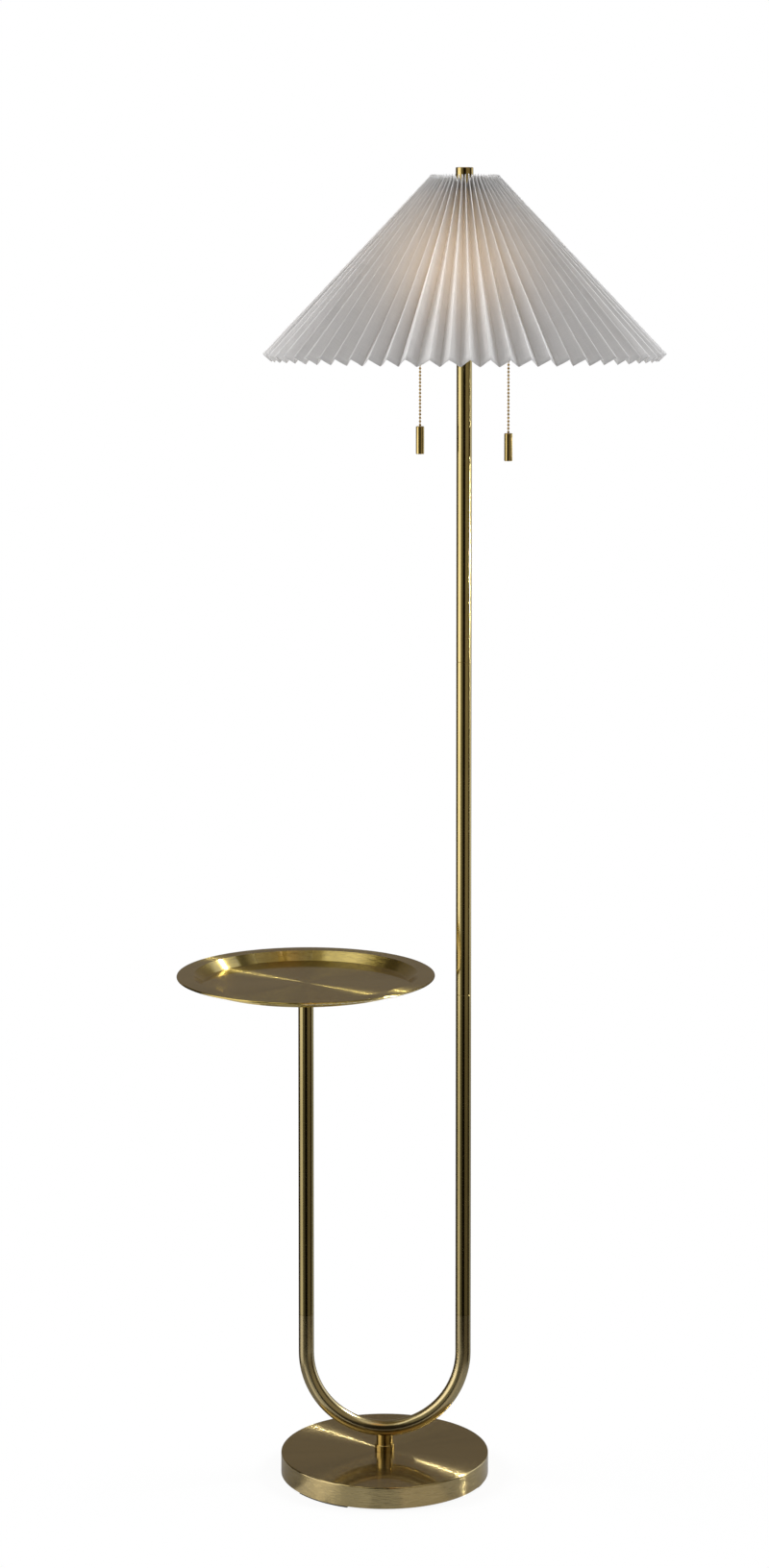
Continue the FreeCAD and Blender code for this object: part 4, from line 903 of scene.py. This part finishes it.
def bandColours(tree, bands, soft, measure, start=-180, end=180):
    # bands of tone that meet over a soft edge, along a measure that runs from start to end
    ramp = addNode(tree, "ShaderNodeValToRGB")
    feed(tree, remapLinear(tree, measure, start, end), ramp.inputs[0])
    stops, edge = [], start
    for limit, tone in bands:
        stops += [(edge + soft, tone), (limit - soft, tone)]
        edge = limit
    keys = ramp.color_ramp.elements
    while len(keys) < len(stops):
        keys.new(1.0)
    for key, (place, _) in zip(keys, stops):
        key.position = (place - start) / (end - start)
    for key, (_, tone) in zip(keys, stops):
        key.color = colour(*tone)
    return ramp.outputs[0]


def makeFloor():
    material, tree, shader = startMaterial("paleFloor", **{
        "Base Color": studio["floorPale"], "Roughness": studio["floorRough"], "Specular IOR Level": 0.0})
    white = addNode(tree, "ShaderNodeEmission")
    white.inputs["Strength"].default_value = studio["white"]
    place = addNode(tree, "ShaderNodeTexCoord").outputs["Object"]
    x, y, _ = splitVector(tree, place)
    away = compute(tree, "SQRT", compute(tree, "ADD", compute(tree, "MULTIPLY", x, x),
                                         compute(tree, "MULTIPLY", y, y)))
    mirrored = addNode(tree, "ShaderNodeLightPath").outputs["Is Glossy Ray"]
    more = studio["floorMirrored"] - studio["floorShadow"]
    share = compute(tree, "MULTIPLY_ADD", mirrored, more, studio["floorShadow"])
    taken = remap(tree, away, studio["floorFoot"], studio["floorNear"], share, 0.0)
    # painted reflection: the floor's tone for glossy rays
    mirroredFloorTones = bandColours(tree, floorBands, studio["floorSoft"], degreesAround(tree, place))
    feed(tree, mixColours(tree, mirrored, colour(1, 1, 1), mirroredFloorTones), white.inputs["Color"])
    shown = compute(tree, "MULTIPLY", seenDirectly(tree), compute(tree, "SUBTRACT", 1.0, taken))
    blend = addNode(tree, "ShaderNodeMixShader")
    feed(tree, shown, blend.inputs[0])
    feed(tree, shader.outputs[0], blend.inputs[1])
    feed(tree, white.outputs[0], blend.inputs[2])
    feed(tree, blend.outputs[0], tree.nodes["Material Output"].inputs["Surface"])
    near = hoopMesh("floorNear", (0.0, 0.0), (studio["floorCards"], 0.0))
    far = hoopMesh("floorFar", (studio["floorCards"], 0.0), (studio["floorFar"], 0.0))
    far.visible_glossy = False
    for part in (near, far):
        part.data.materials.append(material)


def bandLight(name, bands, soft, where, start=-180, end=180):
    # a material that shines in bands of tone along the measure that the where function gives
    material = bpy.data.materials.new(name)
    material.use_nodes = True
    tree = material.node_tree
    tree.nodes.remove(tree.nodes["Principled BSDF"])
    light = addNode(tree, "ShaderNodeEmission")
    place = addNode(tree, "ShaderNodeTexCoord").outputs["Object"]
    feed(tree, bandColours(tree, bands, soft, where(tree, place), start, end), light.inputs["Color"])
    feed(tree, light.outputs[0], tree.nodes["Material Output"].inputs["Surface"])
    return material, tree, light, place


def degreesAround(tree, place):
    # degrees to the right of the camera
    x, y, _ = splitVector(tree, place)
    turn = compute(tree, "ARCTAN2", x, compute(tree, "MULTIPLY", y, -1.0))
    return compute(tree, "MULTIPLY", turn, 180 / math.pi)


def metresRight(tree, place):
    return splitVector(tree, place)[0]


def makeScreen():
    # a round screen with a lid that only reflections see: it gives the brass its stripes
    radius, top = studio["screenRadius"], studio["screenHigh"]
    screen = hoopMesh("reflectionScreen", (radius, studio["screenLow"]), (radius, top),
                      studio["screenSegments"])
    material, tree, light, place = bandLight(
        "screenBands", screenBands, studio["screenSoft"], degreesAround)
    high, low, share = screenFade
    feed(tree, remap(tree, splitVector(tree, place)[2], low, high, share, 1.0), light.inputs["Strength"])
    screen.data.materials.append(material)
    lid = hoopMesh("reflectionLid", (0.0, top), (radius, top))
    material, tree, light, place = bandLight(
        "lidBands", ceilingBands, studio["lidSoft"], metresRight, -radius, radius)
    front, back, share = lidFade
    feed(tree, remap(tree, splitVector(tree, place)[1], front, back, 1.0, share), light.inputs["Strength"])
    lid.data.materials.append(material)
    for part in (screen, lid):
        part.visible_camera = False
        part.visible_diffuse = False
        part.visible_transmission = False
        part.visible_shadow = False


def aimAt(thing, target):
    thing.rotation_euler = (Vector(target) - thing.location).to_track_quat("-Z", "Y").to_euler()


def makeLamp(name, kind, place, power, size, tint=(1.0, 1.0, 1.0), target=(0.0, 0.0, 0.9), mirrored=False):
    # a mirrored lamp shows in gloss alone, any other one lights without showing there
    data = bpy.data.lights.new(name, kind)
    data.energy = power
    data.color = tint
    if kind == "AREA":
        data.shape = "DISK"
        data.size = size
    else:
        data.shadow_soft_size = size
    lamp = bpy.data.objects.new(name, data)
    lamp.location = place
    bpy.context.scene.collection.objects.link(lamp)
    aimAt(lamp, target)
    lamp.visible_camera = False
    lamp.visible_glossy = mirrored
    lamp.visible_diffuse = not mirrored


# soft lamps on both sides of the shade
sideLamps = [
    {"name": "leftLamp", "place": (-2.85, 0.20, 2.7), "power": 78.0, "size": 1.9, "tint": (1.0, 1.0, 1.0)},
    {"name": "rightLamp", "place": (2.95, 0.40, 3.0), "power": 76.0, "size": 1.5, "tint": (0.94, 0.97, 1.0)},
]
sideAim = 1.38                # height at which those two look
# small bare lamps that only the brass shows, one behind to the right and one beside on the right
sparks = [
    {"name": "highSpark", "turn": 127.0, "rise": 45.0, "away": 4.2, "size": 0.08, "power": 230.0},
    {"name": "lowSpark", "turn": 94.0, "rise": 9.0, "away": 4.4, "size": 0.10, "power": 40.0},
]
sparkAim = 0.2
bulbGlow = {
    "tint": (1.0, 0.72, 0.42),
    "size": 0.03,
    "leftGlow": 0.5,         # power of each
    "rightGlow": 0.4,
}


def makeLights():
    for lamp in sideLamps:
        makeLamp(lamp["name"], "AREA", lamp["place"], lamp["power"], lamp["size"],
                 tint=lamp["tint"], target=(poleX, 0.0, sideAim))
    for spark in sparks:
        turn, rise = math.radians(spark["turn"]), math.radians(spark["rise"])
        place = (spark["away"] * math.cos(rise) * math.sin(turn),
                 -spark["away"] * math.cos(rise) * math.cos(turn),
                 spark["away"] * math.sin(rise))
        makeLamp(spark["name"], "AREA", place, spark["power"], spark["size"],
                 target=(0, 0, sparkAim), mirrored=True)
    # the warm light of the two bulbs, from the middle of each
    bulb = middleOf("left_bulb_glass")
    for name, side in (("leftGlow", -1), ("rightGlow", 1)):
        place = (poleX + side * (poleX - bulb.x), 0.0, bulb.z)
        makeLamp(name, "POINT", place, bulbGlow[name], bulbGlow["size"], tint=bulbGlow["tint"])


cameraPlace = {
    "lens": 75.48,
    "place": (-0.0002, -3.7177, 1.3952),
    "down": 3.134,        # degrees that the camera looks down
    "shift": -0.22,       # the frame is the lower part of a larger picture
}


def makeCamera():
    data = bpy.data.cameras.new("photoCamera")
    data.lens = cameraPlace["lens"]
    data.shift_y = cameraPlace["shift"]
    camera = bpy.data.objects.new("photoCamera", data)
    camera.location = cameraPlace["place"]
    camera.rotation_euler = (math.radians(90 - cameraPlace["down"]), 0, 0)
    bpy.context.scene.collection.objects.link(camera)
    bpy.context.scene.camera = camera


makeRoom()
makeFloor()
makeScreen()
makeLights()
makeCamera()
bpy.context.scene.view_settings.view_transform = "Standard"
print("stage ready")
